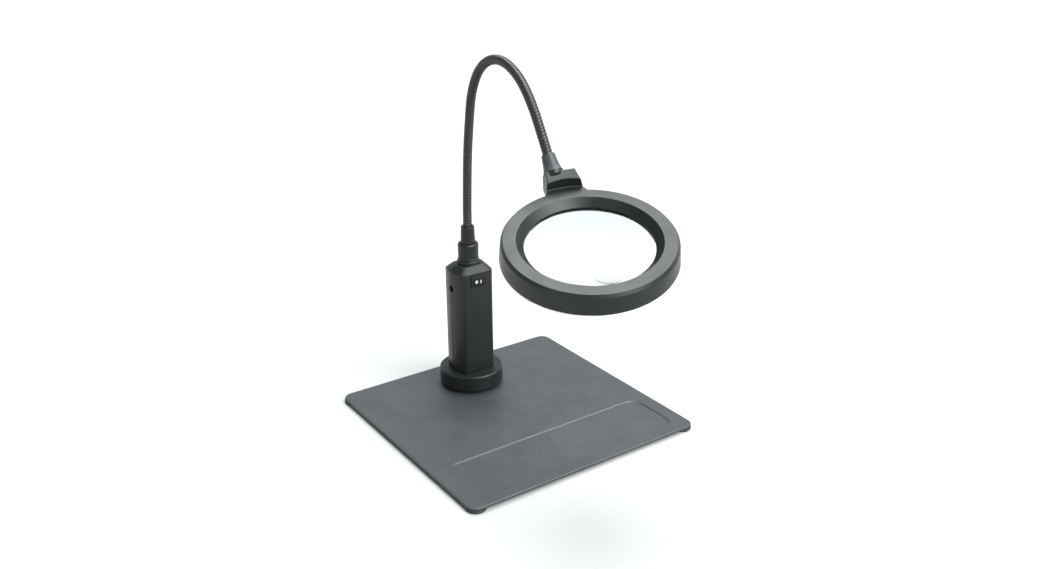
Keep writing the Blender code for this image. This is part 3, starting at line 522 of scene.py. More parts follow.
def make_finishes():
    """The first finish of a slot also dresses the CAD nodes of that slot."""
    FINISHES.update({
        "plate": ("plate_paint", powder_coat()),
        "housing": ("housing_plastic", moulded_plastic("housing_plastic", (0.0080, 0.0092, 0.0098), 0.36)),
        "switch": ("switch_plastic", moulded_plastic("switch_plastic", (0.0060, 0.0060, 0.0065), 0.30,
                                                     0.4 * MM, 0.006 * MM)),
        "wire": ("neck_steel", neck_wire()),
        "sleeve": ("neck_steel", moulded_plastic("sleeve_plastic", (0.0080, 0.0080, 0.0085), 0.34,
                                                 1.4 * MM, 0.03 * MM)),
        "ferrule": ("neck_steel", moulded_plastic("ferrule_paint", (0.036, 0.039, 0.041), 0.40,
                                                  0.9 * MM, 0.015 * MM)),
        "steel": ("bare_steel", plated_steel()),
        "magnet": ("bare_steel", plated_steel("magnet_nickel", (0.62, 0.60, 0.56))),
        "rubber": ("rubber", foot_rubber()),
        "lens": ("lens_acrylic", lens_acrylic()),
        "diffuser": ("diffuser_acrylic", milky_acrylic()),
        "board": ("board", solder_mask("board_mask", (0.012, 0.085, 0.035), (0.022, 0.150, 0.060))),
        "led_board": ("led_board", solder_mask("led_board_mask", (0.80, 0.81, 0.79), (0.88, 0.88, 0.85))),
        "mark": ("led_board", mark_paint()),
        "cell": ("cell_jacket", cell_jacket()),
        "lead": ("lead_vinyl", lead_vinyl()),
    })


# ======== camera, light and floor
def make_camera():
    """The camera stands in front, to the left and above, and looks down at the plate."""
    azimuth, pitch, roll = (radians(angle) for angle in (34.669, 22.306, -0.359))
    data = bpy.data.cameras.new("camera")
    data.lens = 36.08
    data.sensor_width = 36.0
    camera = bpy.data.objects.new("camera", data)
    bpy.context.scene.collection.objects.link(camera)
    camera.rotation_mode = "QUATERNION"
    ahead = Vector((sin(azimuth) * cos(pitch), cos(azimuth) * cos(pitch), -sin(pitch)))
    turn = ahead.to_track_quat("-Z", "Y").to_matrix() @ Matrix.Rotation(roll, 3, "Z")
    camera.rotation_quaternion = turn.to_quaternion()
    camera.location = (-0.5060, PLATE_LOW.y - 0.6278, PLATE_TOP + 0.5032)
    data.clip_start = 0.01
    data.clip_end = 50
    bpy.context.scene.camera = camera


def soft_light(name, towards, spread, radiance, colour):
    """A far, round soft light of even brightness that fills a cone of the given full angle."""
    data = bpy.data.lights.new(name, "SUN")
    data.angle = radians(spread)
    data.color = colour
    data.energy = radiance * pi * sin(data.angle / 2) ** 2
    light = bpy.data.objects.new(name, data)
    bpy.context.scene.collection.objects.link(light)
    light.location = OBJECT_MIDDLE + Vector(towards).normalized()
    light.rotation_mode = "QUATERNION"
    light.rotation_quaternion = (-Vector(towards)).to_track_quat("-Z", "Y")


def make_world():
    """An even studio: pale near the horizon and dimmer higher up."""
    world = bpy.data.worlds.new("studio")
    world.use_nodes = True
    tree = world.node_tree
    background = tree.nodes["Background"]
    background.inputs["Color"].default_value = (0.96, 0.99, 1.0, 1)
    split = tree.nodes.new("ShaderNodeSeparateXYZ")
    tree.links.new(tree.nodes.new("ShaderNodeTexCoord").outputs["Generated"], split.inputs["Vector"])
    fade = tree.nodes.new("ShaderNodeMapRange")
    fade.interpolation_type = "SMOOTHSTEP"
    for key, number in (("From Min", 0.05), ("From Max", 0.6), ("To Min", 1.05), ("To Max", 0.15)):
        fade.inputs[key].default_value = number
    tree.links.new(split.outputs["Z"], fade.inputs["Value"])
    tree.links.new(fade.outputs["Result"], background.inputs["Strength"])
    bpy.context.scene.world = world


def make_light():
    make_world()
    bpy.context.scene.view_settings.view_transform = "Standard"
    soft_light("overhead_light", (0.20, 0.26, 0.94), 40, 12.5, (0.96, 1.0, 0.985))
    soft_light("key_light", (0.14, -0.72, 0.66), 48, 10.5, (0.97, 1.0, 0.99))
    soft_light("side_light", (0.55, -0.36, 0.76), 40, 4.5, (0.97, 1.0, 1.0))
    soft_light("right_light", (0.95, 0.14, 0.26), 44, 0.5, (0.97, 1.0, 1.0))
    soft_light("left_light", (-0.85, -0.30, 0.45), 36, 0.7, (0.97, 1.0, 1.0))


def make_floor():
    bm = bmesh.new()
    half = 12.0
    corners = ((-half, -half, 0), (half, -half, 0), (half, half, 0), (-half, half, 0))
    bm.faces.new([bm.verts.new(corner) for corner in corners])
    floor = make_object("floor", bm)
    n = Nodes("floor_paper", (0.35, 0.35, 0.35), 0.8)
    n.colour(n.blend(n.patches(0.5, 0.3, 0.7), (0.345, 0.35, 0.355), (0.36, 0.36, 0.36)))
    floor.data.materials.append(n.material)


# ======== base
def rounded_rectangle(width, depth, radius, middle, z):
    outline = rounded(rectangle(width / 2, depth / 2, radius), 14)
    return [(middle[0] + x, middle[1] + y, z) for x, y in outline]


def make_plate():
    """Sheet steel with a rolled edge and a shallow pressed tray: one skin from underside to tray floor."""
    width, depth = PLATE_HIGH.x - PLATE_LOW.x, PLATE_HIGH.y - PLATE_LOW.y
    middle = ((PLATE_LOW.x + PLATE_HIGH.x) / 2, (PLATE_LOW.y + PLATE_HIGH.y) / 2)
    edge = rounded([(4 * MM, PLATE_LOW.z, 0), (0, PLATE_LOW.z, 0.5 * MM),
                    (0, PLATE_TOP, 0.9 * MM), (4 * MM, PLATE_TOP, 0)], 5)
    loops = []
    for inset, z in edge:
        loops.append(rounded_rectangle(width - 2 * inset, depth - 2 * inset, PLATE_CORNER - inset, middle, z))
    tray_middle = (middle[0], PLATE_LOW.y + TRAY_FROM_FRONT + TRAY_DEPTH / 2)
    slope, steps = 0.6 * MM, 6
    for i in range(steps + 1):
        share = i / steps
        inset = slope * (2 * share - 1)
        z = PLATE_TOP - TRAY_RECESS * share * share * (3 - 2 * share)
        size = (TRAY_WIDTH - 2 * inset, TRAY_DEPTH - 2 * inset, TRAY_CORNER - inset)
        loops.append(rounded_rectangle(*size, tray_middle, z))
    finish_piece(make_object("plate", loft(loops)), "plate", "plate", "base_plate")


def make_feet():
    """Moulded rubber feet: a domed edge, a shallow dish underneath and a groove round the side."""
    for name in ("foot_front_left", "foot_front_right", "foot_back_left", "foot_back_right"):
        low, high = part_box(name)
        radius = (high.x - low.x) / 2
        tall = high.z - low.z
        place = Matrix.Translation(((low.x + high.x) / 2, (low.y + high.y) / 2, low.z))
        turned(name + "_rubber", [
            (0, 0.3 * MM, 0),
            (radius * 0.55, 0.3 * MM, 0.2 * MM),
            (radius * 0.62, 0, 0.2 * MM),
            (radius - 0.4 * MM, 0, 0.9 * MM),
            (radius, tall * 0.55, 0.3 * MM),
            (radius - 0.25 * MM, tall * 0.65, 0.1 * MM),
            (radius, tall * 0.75, 0.1 * MM),
            (radius, tall, 0.3 * MM),
            (0, tall, 0),
        ], 48, place, "plate", "rubber", name)


def make_disc():
    """The magnetic foot disc, open underneath round its magnet."""
    radius = (DISC_HIGH.x - DISC_LOW.x) / 2
    low, high = DISC_LOW.z, DISC_HIGH.z
    deck = high - 4.8 * MM
    screw_hole, magnet_well = 2.3 * MM, 28.5 * MM
    turned("foot_disc", [
        (screw_hole, deck, 0),
        (magnet_well, deck, 0.4 * MM),
        (magnet_well, low, 0.3 * MM),
        (radius - 0.5 * MM, low, 0.3 * MM),
        (radius, low + 1.5 * MM, 0.6 * MM),
        (radius, high - 1.0 * MM, 0.25 * MM),
        (radius - 1.0 * MM, high, 0.25 * MM),
        (screw_hole, high, 0),
    ], 160, at_axis(), "lamp", "housing", "base_disc")


# ======== handle
def handle_outline(inset):
    """Flat front and back, bulging sides and softly rounded upright corners."""
    bulge = SEAM_HALF_WIDTH - FLAT_HALF_WIDTH
    flat = FLAT_HALF_WIDTH - inset
    depth = HALF_DEPTH - inset
    least = 1.2 * MM
    front = max(8.0 * MM - inset / 2, least)
    back = max(4.0 * MM - inset, least)
    side = []
    steps, bulging_share = 12, 0.6
    for i in range(-steps, steps + 1):
        share = bulging_share * i / steps
        side.append((flat + bulge * cos(pi / 2 * share), depth * share, 0))
    right = [(flat, -depth, front)] + side + [(flat, depth, back)]
    return rounded(right + [(-x, y, radius) for x, y, radius in right[::-1]], 8)


def handle_solid(inset, bottom, edge):
    """The handle's shape inside the given inset, with its bottom, roof edge and roof top rounded."""
    top = ROOF_TOP - inset
    profile = rounded([
        (6 * MM, bottom, 0),
        (0, bottom, edge),
        (0, HANDLE_EDGE - inset / 2, edge * 1.4),
        (ROOF_INSET, top, edge),
        (ROOF_INSET + 3 * MM, top, 0),
    ], 4)
    loops = []
    for extra, z in profile:
        loops.append([(x, y, z) for x, y in handle_outline(inset + extra)])
    return loft(loops)


def seam_groove():
    """V-shaped bars that run up both sides and over the roof, to cut the parting line's groove."""
    width, depth, past = 0.45 * MM, 0.7 * MM, 0.6 * MM
    rise = Vector((-ROOF_INSET, 0, ROOF_RISE))
    corner = Vector((SEAM_HALF_WIDTH, 0, HANDLE_EDGE))
    runs = [
        (Vector((SEAM_HALF_WIDTH, 0, SHELL_LOW.z - MM)), corner, Vector((1, 0, 0))),
        (corner - rise * 0.1, corner + rise * 1.2, Vector((ROOF_RISE, 0, ROOF_INSET)).normalized()),
    ]
    bars = []
    for start, end, out in runs:
        across = Vector((0, 1, 0))
        section = (out * past - across * (width * 2), out * past + across * (width * 2), -out * depth)
        for angle in (0, pi):
            turn = Matrix.Rotation(angle, 4, "Z")
            bars.append((loft([[point + offset for offset in section] for point in (start, end)]), turn))
    return bars


def make_shells():
    """Front and rear shells, cut from one rounded body along the seam."""
    for name, side, node in (("handle_front", -1, "front_shell"), ("handle_rear", 1, "rear_shell")):
        shell = make_object(name, handle_solid(0, SHELL_LOW.z, 0.7 * MM))
        boolean(shell, handle_solid(SHELL_WALL, SHELL_LOW.z - MM, 0.3 * MM))
        for bar, turn in seam_groove():
            boolean(shell, bar, place=turn)
        far = 60 * MM
        near = -side * HAIRLINE
        low_y, high_y = sorted((side * -far, -near))
        boolean(shell, box((-far, low_y, 0), (far, high_y, ROOF_TOP + far)))
        below, above = ROOF_TOP - 10 * MM, ROOF_TOP + MM
        hole = [(0, below), (NECK_HOLE, below), (NECK_HOLE, above), (0, above)]
        boolean(shell, lathe(hole, 48))
        sideways = Matrix.Translation((0, 0, JACK_Z)) @ TO_LEFT
        inner, outer, bore = 14 * MM, 21.2 * MM, 3.2 * MM
        mouth = [(0, inner), (bore, inner), (bore, outer - MM), (bore + MM, outer), (0, outer)]
        boolean(shell, lathe(mouth, 48), place=sideways)
        if side < 0:
            upright = Matrix.Translation((0, 0, SWITCH_Z)) @ TO_FRONT
            window = soft_prism(rectangle(7.6 * MM, 5.2 * MM, 0.8 * MM), HALF_DEPTH - 4 * MM,
                                HALF_DEPTH + 3 * MM, 0.1 * MM)
            boolean(shell, window, place=upright)
        else:
            cut_back(shell)
        shell.data.transform(at_axis())
        finish_piece(shell, "lamp", "housing", node)


def cut_back(shell):
    """The rear shell's battery window and its two screw wells."""
    half_x = (COVER_HIGH.x - COVER_LOW.x) / 2 + 0.2 * MM
    half_z = (COVER_HIGH.z - COVER_LOW.z) / 2 + 0.2 * MM
    middle = (COVER_LOW.z + COVER_HIGH.z) / 2
    window = prism(rounded(rectangle(half_x, half_z, 1.6 * MM), 6), HALF_DEPTH - 4 * MM, HALF_DEPTH + 3 * MM)
    boolean(shell, window, place=Matrix.Translation((0, 0, middle)) @ TO_BACK)
    for sign in (-1, 1):
        place = Matrix.Translation((sign * SHELL_SCREW_X, 0, SHELL_SCREW_Z)) @ TO_BACK
        inner, outer = 3.0 * MM, 4.0 * MM
        low, seat, rim = 6.2 * MM, 8 * MM, HALF_DEPTH - 1.2 * MM
        well = [(0, 6 * MM), (inner, 6 * MM), (inner, HALF_DEPTH - 0.4 * MM),
                (3.8 * MM, HALF_DEPTH + 0.4 * MM), (0, HALF_DEPTH + 0.4 * MM)]
        boolean(shell, lathe(well, 32), place=place)
        tube_wall = [(inner, low), (outer, low), (outer, rim), (inner, rim)]
        floor = [(0, low), (outer, low), (outer, seat), (0, seat)]
        boolean(shell, lathe(tube_wall, 32), "UNION", place)
        boolean(shell, lathe(floor, 32), "UNION", place)


def cross_screw(head_radius, head_height, shaft_radius, length):
    """A pan-head screw along Z with a cross recess, its head's seat at 0."""
    profile = rounded([
        (0, -length, 0),
        (shaft_radius * 0.6, -length, 0),
        (shaft_radius, -length + 1.2 * MM, 0.2 * MM),
        (shaft_radius, 0, 0),
        (head_radius, 0, 0.15 * MM),
        (head_radius, head_height, head_height * 0.6),
        (0, head_height, 0),
    ], 5)
    screw = make_object("screw", lathe(profile, 40))
    for angle in (45, 135):
        turn = Matrix.Rotation(radians(angle), 4, "Z")
        wide, deep = head_radius * 0.62, head_height * 0.6
        slot = box((-wide, -wide * 0.2, head_height - deep), (wide, wide * 0.2, head_height + MM))
        boolean(screw, slot, place=turn)
    return screw


def make_shell_screws():
    for node in ("shell_screw_left", "shell_screw_right"):
        low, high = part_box(node)
        head = 1.7 * MM
        screw = cross_screw(2.6 * MM, head, 1.2 * MM, high.y - low.y - head)
        screw.name = node + "_steel"
        seat = Matrix.Translation(((low.x + high.x) / 2, high.y - head, (low.z + high.z) / 2))
        screw.data.transform(seat @ TO_BACK)
        finish_piece(screw, "lamp", "steel", node)


# ======== power
def make_cover():
    """The battery cover: rounded corners, and finger grooves under its top edge."""
    size = COVER_HIGH - COVER_LOW
    middle = (COVER_LOW + COVER_HIGH) / 2
    plate = soft_prism(rectangle(size.x / 2, size.z / 2, 1.4 * MM), -size.y / 2, size.y / 2, 0.35 * MM, 6)
    cover = make_object("battery_door", plate)
    grooves, spacing, half_long, radius = 5, 2.2, 6.0 * MM, 0.55 * MM
    tip = half_long + 0.5 * MM
    for i in range(grooves):
        groove = lathe([(0, -tip), (radius, -half_long), (radius, half_long), (0, tip)], 20)
        lie = Matrix.Translation((0, -size.z / 2 + (5 + spacing * i) * MM, size.y / 2 + 0.1 * MM))
        boolean(cover, groove, place=lie @ Matrix.Rotation(radians(90), 4, "Y"))
    cover.data.transform(Matrix.Translation(middle) @ TO_BACK)
    finish_piece(cover, "battery_door", "housing", "battery_cover")


def make_cells():
    """Three AAA cells: a crimped jacket, and a steel cap with a raised nub."""
    for node in ("battery_1", "battery_2", "battery_3"):
        low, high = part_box(node)
        radius = (high.x - low.x) / 2
        top = high.z - low.z
        crimp, seat, nub = top - 1.0 * MM, top - 1.2 * MM, 1.9 * MM
        place = Matrix.Translation(((low.x + high.x) / 2, (low.y + high.y) / 2, low.z))
        turned(node + "_cell", [
            (0, 0.25 * MM, 0),
            (radius - 1.2 * MM, 0.25 * MM, 0.1 * MM),
            (radius - 0.9 * MM, 0, 0.1 * MM),
            (radius, 0, 0.5 * MM),
            (radius, crimp, 0.5 * MM),
            (radius - 0.9 * MM, crimp, 0.1 * MM),
            (radius - 1.2 * MM, seat, 0.1 * MM),
            (0, seat, 0),
        ], 48, place, "lamp", "cell", node)
        turned(node + "_cap", [
            (0, seat, 0),
            (radius - 1.4 * MM, seat, 0.1 * MM),
            (radius - 1.6 * MM, crimp, 0.2 * MM),
            (nub, top - 0.95 * MM, 0.2 * MM),
            (nub, top, 0.4 * MM),
            (0, top, 0),
        ], 40, place, "lamp", "steel")


def make_springs():
    """The contact strip with one conical wire spring under each cell."""
    low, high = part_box("battery_springs")
    strip_top = low.z + 0.6 * MM
    strip = make_object("spring_strip", box(low, (high.x, high.y, strip_top)))
    bevel(strip, 0.15 * MM, 30)
    finish_piece(strip, "lamp", "steel", "battery_springs")
    wire, wide, narrow = 0.3 * MM, 3.2 * MM, 1.5 * MM
    turns, steps, sides = 4, 24, 8
    for node in ("battery_1", "battery_2", "battery_3"):
        cell_low, cell_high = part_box(node)
        start = Vector(((cell_low.x + cell_high.x) / 2, (cell_low.y + cell_high.y) / 2, strip_top + wire))
        rise = cell_low.z - 2 * wire - start.z
        loops = []
        for i in range(turns * steps + 1):
            share = i / (turns * steps)
            angle = 2 * pi * turns * share
            radius = wide + (narrow - wide) * share
            out = Vector((cos(angle), sin(angle), 0))
            centre = start + out * radius + Vector((0, 0, rise * share))
            loop = []
            for k in range(sides):
                turn = 2 * pi * k / sides
                loop.append(centre + wire * (out * cos(turn) + Vector((0, 0, sin(turn)))))
            loops.append(loop)
        finish_piece(make_object(node + "_spring", loft(loops)), "lamp", "steel")


def make_switch():
    """The bezel with its rounded frame, the rocker in its well, and the two marks on the rocker."""
    face = SWITCH_LOW.y - AXIS.y
    half_x = (SWITCH_HIGH.x - SWITCH_LOW.x) / 2
    half_z = (SWITCH_HIGH.z - SWITCH_LOW.z) / 2
    bezel = make_object("switch_bezel", soft_prism(rectangle(half_x, half_z, 1.3 * MM),
                                                   -face - 1.0 * MM, -face, 0.4 * MM, 6))
    body = soft_prism(rectangle(7.2 * MM, 4.85 * MM, 0.6 * MM), 7 * MM, -face - 0.5 * MM, 0.1 * MM)
    boolean(bezel, body, "UNION")
    well = soft_prism(rectangle(6.5 * MM, 4.45 * MM, 0.5 * MM), 11.5 * MM, -face + 2 * MM, 0.1 * MM)
    boolean(bezel, well)
    bezel.data.transform(at_axis(SWITCH_Z) @ TO_FRONT)
    finish_piece(bezel, "lamp", "switch", "switch_body")

    pivot = Matrix.Translation(JOINTS["switch_tilt"]["pos_m"]) @ Matrix.Rotation(-ROCKER_TILT, 4, "Z")
    side = []
    low, high = radians(-30), radians(24)
    for i in range(9):
        angle = low + (high - low) * i / 8
        side.append((ROCKER_RADIUS * cos(angle), -ROCKER_RADIUS * sin(angle)))
    dip, half_long = -1.7 * MM, 4.1 * MM
    outline = side + [(0, dip)] + [(-x, y) for x, y in side[::-1]]
    rocker = make_object("rocker", prism(outline, -half_long, half_long))
    bevel(rocker, 0.22 * MM, 40)
    rocker.data.transform(pivot)
    finish_piece(rocker, "switch", "switch", "switch_rocker")

    slope = atan2(side[-1][1] - dip, side[-1][0])
    low, high = -0.05 * MM, 0.04 * MM
    for name, sign in (("mark_on", 1), ("mark_off", -1)):
        x = sign * 2.3 * MM
        y = dip + abs(x) * tan(slope)
        seat = pivot @ Matrix.Translation((x, y, 0)) @ Matrix.Rotation(sign * slope, 4, "Z") @ TO_FRONT
        if sign > 0:
            shape = soft_prism(rectangle(0.4 * MM, 1.5 * MM, 0.1 * MM), low, high, 0.01 * MM)
        else:
            inner, outer = 0.7 * MM, 1.45 * MM
            shape = lathe([(inner, low), (outer, low), (outer, high), (inner, high)], 32)
        finish_piece(make_object(name, shape, seat), "switch", "mark")


def make_jack():
    """The power socket: a moulded barrel with a chamfered mouth, and its plated centre pin."""
    sideways = at_axis(JACK_Z) @ TO_LEFT
    mouth = AXIS.x - JACK_LOW.x
    back = AXIS.x - JACK_HIGH.x
    floor = mouth - 9 * MM
    barrel = 4.2 * MM
    turned("power_socket", [
        (0, back, 0),
        (barrel, back, 0.3 * MM),
        (barrel, mouth, 0.3 * MM),
        (JACK_BORE + 0.3 * MM, mouth, 0.1 * MM),
        (JACK_BORE, mouth - 0.4 * MM, 0.1 * MM),
        (JACK_BORE, floor, 0),
        (0, floor, 0),
    ], 48, sideways, "lamp", "switch", "dc_jack")
    tip = mouth - 2.7 * MM
    root, radius = floor - 0.5 * MM, 1.0 * MM
    pin = rounded([(0, root, 0), (radius, root, 0), (radius, tip, 0.5 * MM), (0, tip, 0)], 5)
    finish_piece(make_object("power_pin", lathe(pin, 32), sideways), "lamp", "steel")


# ======== neck
def neck_line():
    """The neck's centre line, from the joints: an arc (start, angle from upright, bend, length) a link."""
    points = [Vector((AXIS.x, AXIS.y, NECK_START))]
    points += [Vector(joint["pos_m"]) for joint in NECK_JOINTS]
    arcs = []
    angle = 0.0
    for start, end in zip(points, points[1:]):
        step = end - start
        chord_angle = atan2(-step.y, step.z)
        bend = 2 * (chord_angle - angle)
        length = step.length if abs(bend) < NOUGHT else step.length * (bend / 2) / sin(bend / 2)
        arcs.append((start, angle, bend, length))
        angle += bend
    arcs.append((points[-1], angle, 0.0, arcs[-1][3]))
    return arcs


def heading(angle):
    return Vector((0, -sin(angle), cos(angle)))


def along(arc, distance):
    """(point, angle) at a distance along an arc, or straight on before its start and past its end."""
    start, angle, bend, length = arc
    if abs(bend) < NOUGHT:
        return start + heading(angle) * distance, angle
    inside = min(max(distance, 0), length)
    turn = bend * inside / length
    side = Vector((0, -cos(angle), -sin(angle)))
    point = start + (heading(angle) * sin(turn) + side * (1 - cos(turn))) * (length / bend)
    return point + heading(angle + turn) * (distance - inside), angle + turn


def rib_height(turns):
    """Outline of the wound neck: a round wire, then the narrow groove to its neighbour."""
    share = turns % 1.0
    return RIB_DEPTH * (abs(sin(pi * share)) ** RIB_FLATNESS - 1)


def ribbed_stretch(arcs, start, end):
    """Skin of the wound neck between two distances from the neck's start."""
    sides, spans_per_rib = 28, 9
    spans = round((end - start) / (RIB_PITCH / spans_per_rib))
    loops = []
    for i in range(spans + 1):
        distance = start + (end - start) * i / spans
        index, left = 0, distance
        while index < len(arcs) - 1 and left > arcs[index][3]:
            left -= arcs[index][3]
            index += 1
        point, angle = along(arcs[index], left)
        up = heading(angle).cross(Vector((1, 0, 0)))
        loop = []
        for k in range(sides):
            turn = 2 * pi * k / sides
            radius = NECK_RADIUS + rib_height(distance / RIB_PITCH - k / sides)
            loop.append(point + radius * (Vector((1, 0, 0)) * cos(turn) + up * sin(turn)))
        loops.append(loop)
    return loft(loops)


def make_neck():
    """The ribbed skin, in stretches between the middles of links, one over each joint; only the first and the
    last stretch ride on a body.
    """
    arcs = neck_line()
    middles = []
    passed = 0.0
    for start, angle, bend, length in arcs:
        middles.append((passed + length / 2, along((start, angle, bend, length), length / 2)[0]))
        passed += length
    first = make_object("neck_ribs_01", ribbed_stretch(arcs, -14 * MM, middles[0][0]), sharp=60)
    finish_piece(first, NECK_JOINTS[0]["parent"], "wire", "neck_link_01")
    for i, joint in enumerate(NECK_JOINTS):
        ribs = ribbed_stretch(arcs, middles[i][0], middles[i + 1][0])
        piece = make_object(f"neck_ribs_{i + 2:02d}", ribs, sharp=60)
        replaced = [] if i == len(NECK_JOINTS) - 1 else [f"neck_link_{i + 2:02d}"]
        finish_piece(piece, None, "wire", *replaced)
        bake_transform(piece)
    last = ribbed_stretch(arcs, middles[-1][0], passed + NECK_IN_FERRULE)
    last = make_object(f"neck_ribs_{len(NECK_JOINTS) + 2:02d}", last, sharp=60)
    finish_piece(last, "head", "wire", f"neck_link_{len(NECK_JOINTS) + 1:02d}")


def make_neck_base():
    """The flange on the roof, the collar in it and the shrunk sleeve over the neck's first ribs."""
    low, high = FLANGE_LOW.z, FLANGE_HIGH.z
    radius = (FLANGE_HIGH.x - FLANGE_LOW.x) / 2
    turned("neck_seat", [
        (NECK_HOLE, low, 0),
        (radius, low, 0.3 * MM),
        (radius, high - 0.8 * MM, 0.5 * MM),
        (radius - 0.9 * MM, high, 0.3 * MM),
        (NECK_HOLE, high, 0),
    ], 96, at_axis(), "lamp", "housing", "neck_flange")

    top = COLLAR_HIGH.z
    bottom = FLANGE_HIGH.z + 0.1 * MM
    seat = top - 10 * MM
    lead_hole, neck_well, thread, rim = 3.0 * MM, 4.8 * MM, 6.4 * MM, 10.5 * MM
    turned("neck_holder", [
        (lead_hole, COLLAR_LOW.z, 0),
        (thread, COLLAR_LOW.z, 0.3 * MM),
        (thread, bottom, 0),
        (rim, bottom, 0.3 * MM),
        (rim, bottom + 1.8 * MM, 0.2 * MM),
        (10.05 * MM, bottom + 2.2 * MM, 0.2 * MM),
        (10.3 * MM, top - 1.5 * MM, 0.4 * MM),
        (9.3 * MM, top, 0.25 * MM),
        (7.8 * MM, top, 0.2 * MM),
        (7.3 * MM, top - 0.8 * MM, 0.2 * MM),
        (neck_well, top - 0.8 * MM, 0),
        (neck_well, seat, 0),
        (lead_hole, seat, 0),
    ], 96, at_axis(), "lamp", "housing", "neck_collar")

    low, high = SLEEVE_LOW.z, SLEEVE_HIGH.z
    bore = 4.6 * MM
    outline = [(bore, low), (7.35 * MM, low)]
    steps = 40
    for i in range(steps + 1):
        share = i / steps
        ripple = 0.02 * MM * sin(2 * pi * share * (high - low) / RIB_PITCH)
        height = low + 0.3 * MM + (high - low - 1.2 * MM) * share
        outline.append((7.3 * MM - 0.7 * MM * share + ripple, height))
    outline += [(6.2 * MM, high - 0.2 * MM), (5.4 * MM, high), (bore, high)]
    sleeve = make_object("neck_sleeve", lathe(outline, 72), at_axis())
    finish_piece(sleeve, "lamp", "sleeve", "lower_ferrule")


# ======== head
def head_matrix(neck_end):
    """Frame of the lens ring: origin at its centre on the top face, +Y to the neck, +Z out of the top."""
    turn = (Matrix.Rotation(HEAD_YAW, 4, "Z") @ Matrix.Rotation(HEAD_NOD, 4, "X")
            @ Matrix.Rotation(HEAD_ROLL, 4, "Y"))
    return Matrix.Translation(neck_end - (turn.to_3x3() @ NECK_ENTRY)) @ turn


def entry_matrix():
    """Frame at the neck's end, with +Z along the neck, towards the lens ring."""
    arcs = neck_line()
    end, angle = along(arcs[-1], arcs[-1][3])
    ahead = heading(angle)
    across = Vector((1, 0, 0))
    turn = Matrix((across, ahead.cross(across), ahead)).transposed().to_4x4()
    return Matrix.Translation(end) @ turn


def make_ferrule(entry):
    lip, seat = -1.5 * MM, NECK_IN_FERRULE + 0.3 * MM
    bore, lead_hole = 4.6 * MM, 2.6 * MM
    profile = rounded([
        (bore, lip, 0.1 * MM),
        (5.9 * MM, lip, 0.9 * MM),
        (6.3 * MM, 3 * MM, 8 * MM),
        (6.9 * MM, 8 * MM, 8 * MM),
        (8.3 * MM, FERRULE_LENGTH, 0),
        (lead_hole, FERRULE_LENGTH, 0),
        (lead_hole, seat, 0),
        (bore, seat, 0),
    ], 6)
    finish_piece(make_object("head_ferrule", lathe(profile, 72), entry), "head", "ferrule", "upper_ferrule")


# Outer wall of the ring's upper shell, from the bottom up: (radius, height, rounding).
RING_WALL = [
    (71.7 * MM, RING_BOTTOM, 0.3 * MM),
    (72.4 * MM, RING_BOTTOM + 0.9 * MM, 0.6 * MM),
    (71.1 * MM, -2.6 * MM, 0.5 * MM),
    (69.1 * MM, 0, 0.5 * MM),
]


def side_loft(corners):
    """A block from its side view's (distance behind, height, left side, right side) corners, in mm."""
    left = [(x * MM, y * MM, z * MM) for y, z, x, _ in corners]
    right = [(x * MM, y * MM, z * MM) for y, z, _, x in corners]
    return loft([left, right])


def soften(obj, grain, passes):
    """Melts a union's pieces into one moulded skin with small fillets in its corners."""
    remesh = obj.modifiers.new("remesh", "REMESH")
    remesh.mode = "VOXEL"
    remesh.voxel_size = grain
    smooth = obj.modifiers.new("smooth", "SMOOTH")
    smooth.factor = 0.5
    smooth.iterations = passes
    apply_modifiers(obj)


def make_bracket(head, entry):
    """Behind the ring: a base flush with the ring's top, a roof-shaped block and the neck's flare."""
    block = (
        (66.0, -6.0, -16.0, 16.8),
        (66.0, 0.1, -16.0, 18.0),
        (79.4, 14.7, -14.8, 10.2),
        (90.0, 4.1, -14.8, 10.6),
        (88.0, -9.2, -14.8, 13.5),
        (78.0, -8.6, -15.4, 15.2),
    )
    base = (
        (62.0, -9.2, -20.6, 20.6),
        (62.0, -0.1, -20.3, 20.3),
        (82.0, -0.1, -12.0, 12.0),
        (82.0, -8.8, -12.4, 12.4),
    )
    bracket = make_object("head_block", side_loft(block), head)
    front = [(0, 0), (74.6 * MM, 0), (74.0 * MM, 9 * MM), (74.0 * MM, 20 * MM), (0, 20 * MM)]
    boolean(bracket, lathe(front, 192), place=head)
    boolean(bracket, side_loft(base), "UNION", head)
    boss = [(0, -1), (8.6, -1), (8.8, 1), (8.6, 3.2), (0, 8)]
    boss = [(r * MM, FERRULE_LENGTH + z * MM) for r, z in boss]
    boolean(bracket, lathe(boss, 64), "UNION", entry)
    soften(bracket, 0.35 * MM, 8)
    low, high, radius = -10 * MM, FERRULE_LENGTH + 0.1 * MM, 8.5 * MM
    seat = [(0, low), (radius, low), (radius, high), (0, high)]
    boolean(bracket, lathe(seat, 64), place=entry)
    space = [(0, -30 * MM), (72.8 * MM, -30 * MM)]
    space += [(r + 0.1 * MM, z) for r, z, _ in RING_WALL[1:]]
    space += [(69.1 * MM, 0.1 * MM), (0, 0.1 * MM)]
    boolean(bracket, lathe(space, 192), place=head)
    finish_piece(bracket, "head", "housing", "head_bracket")


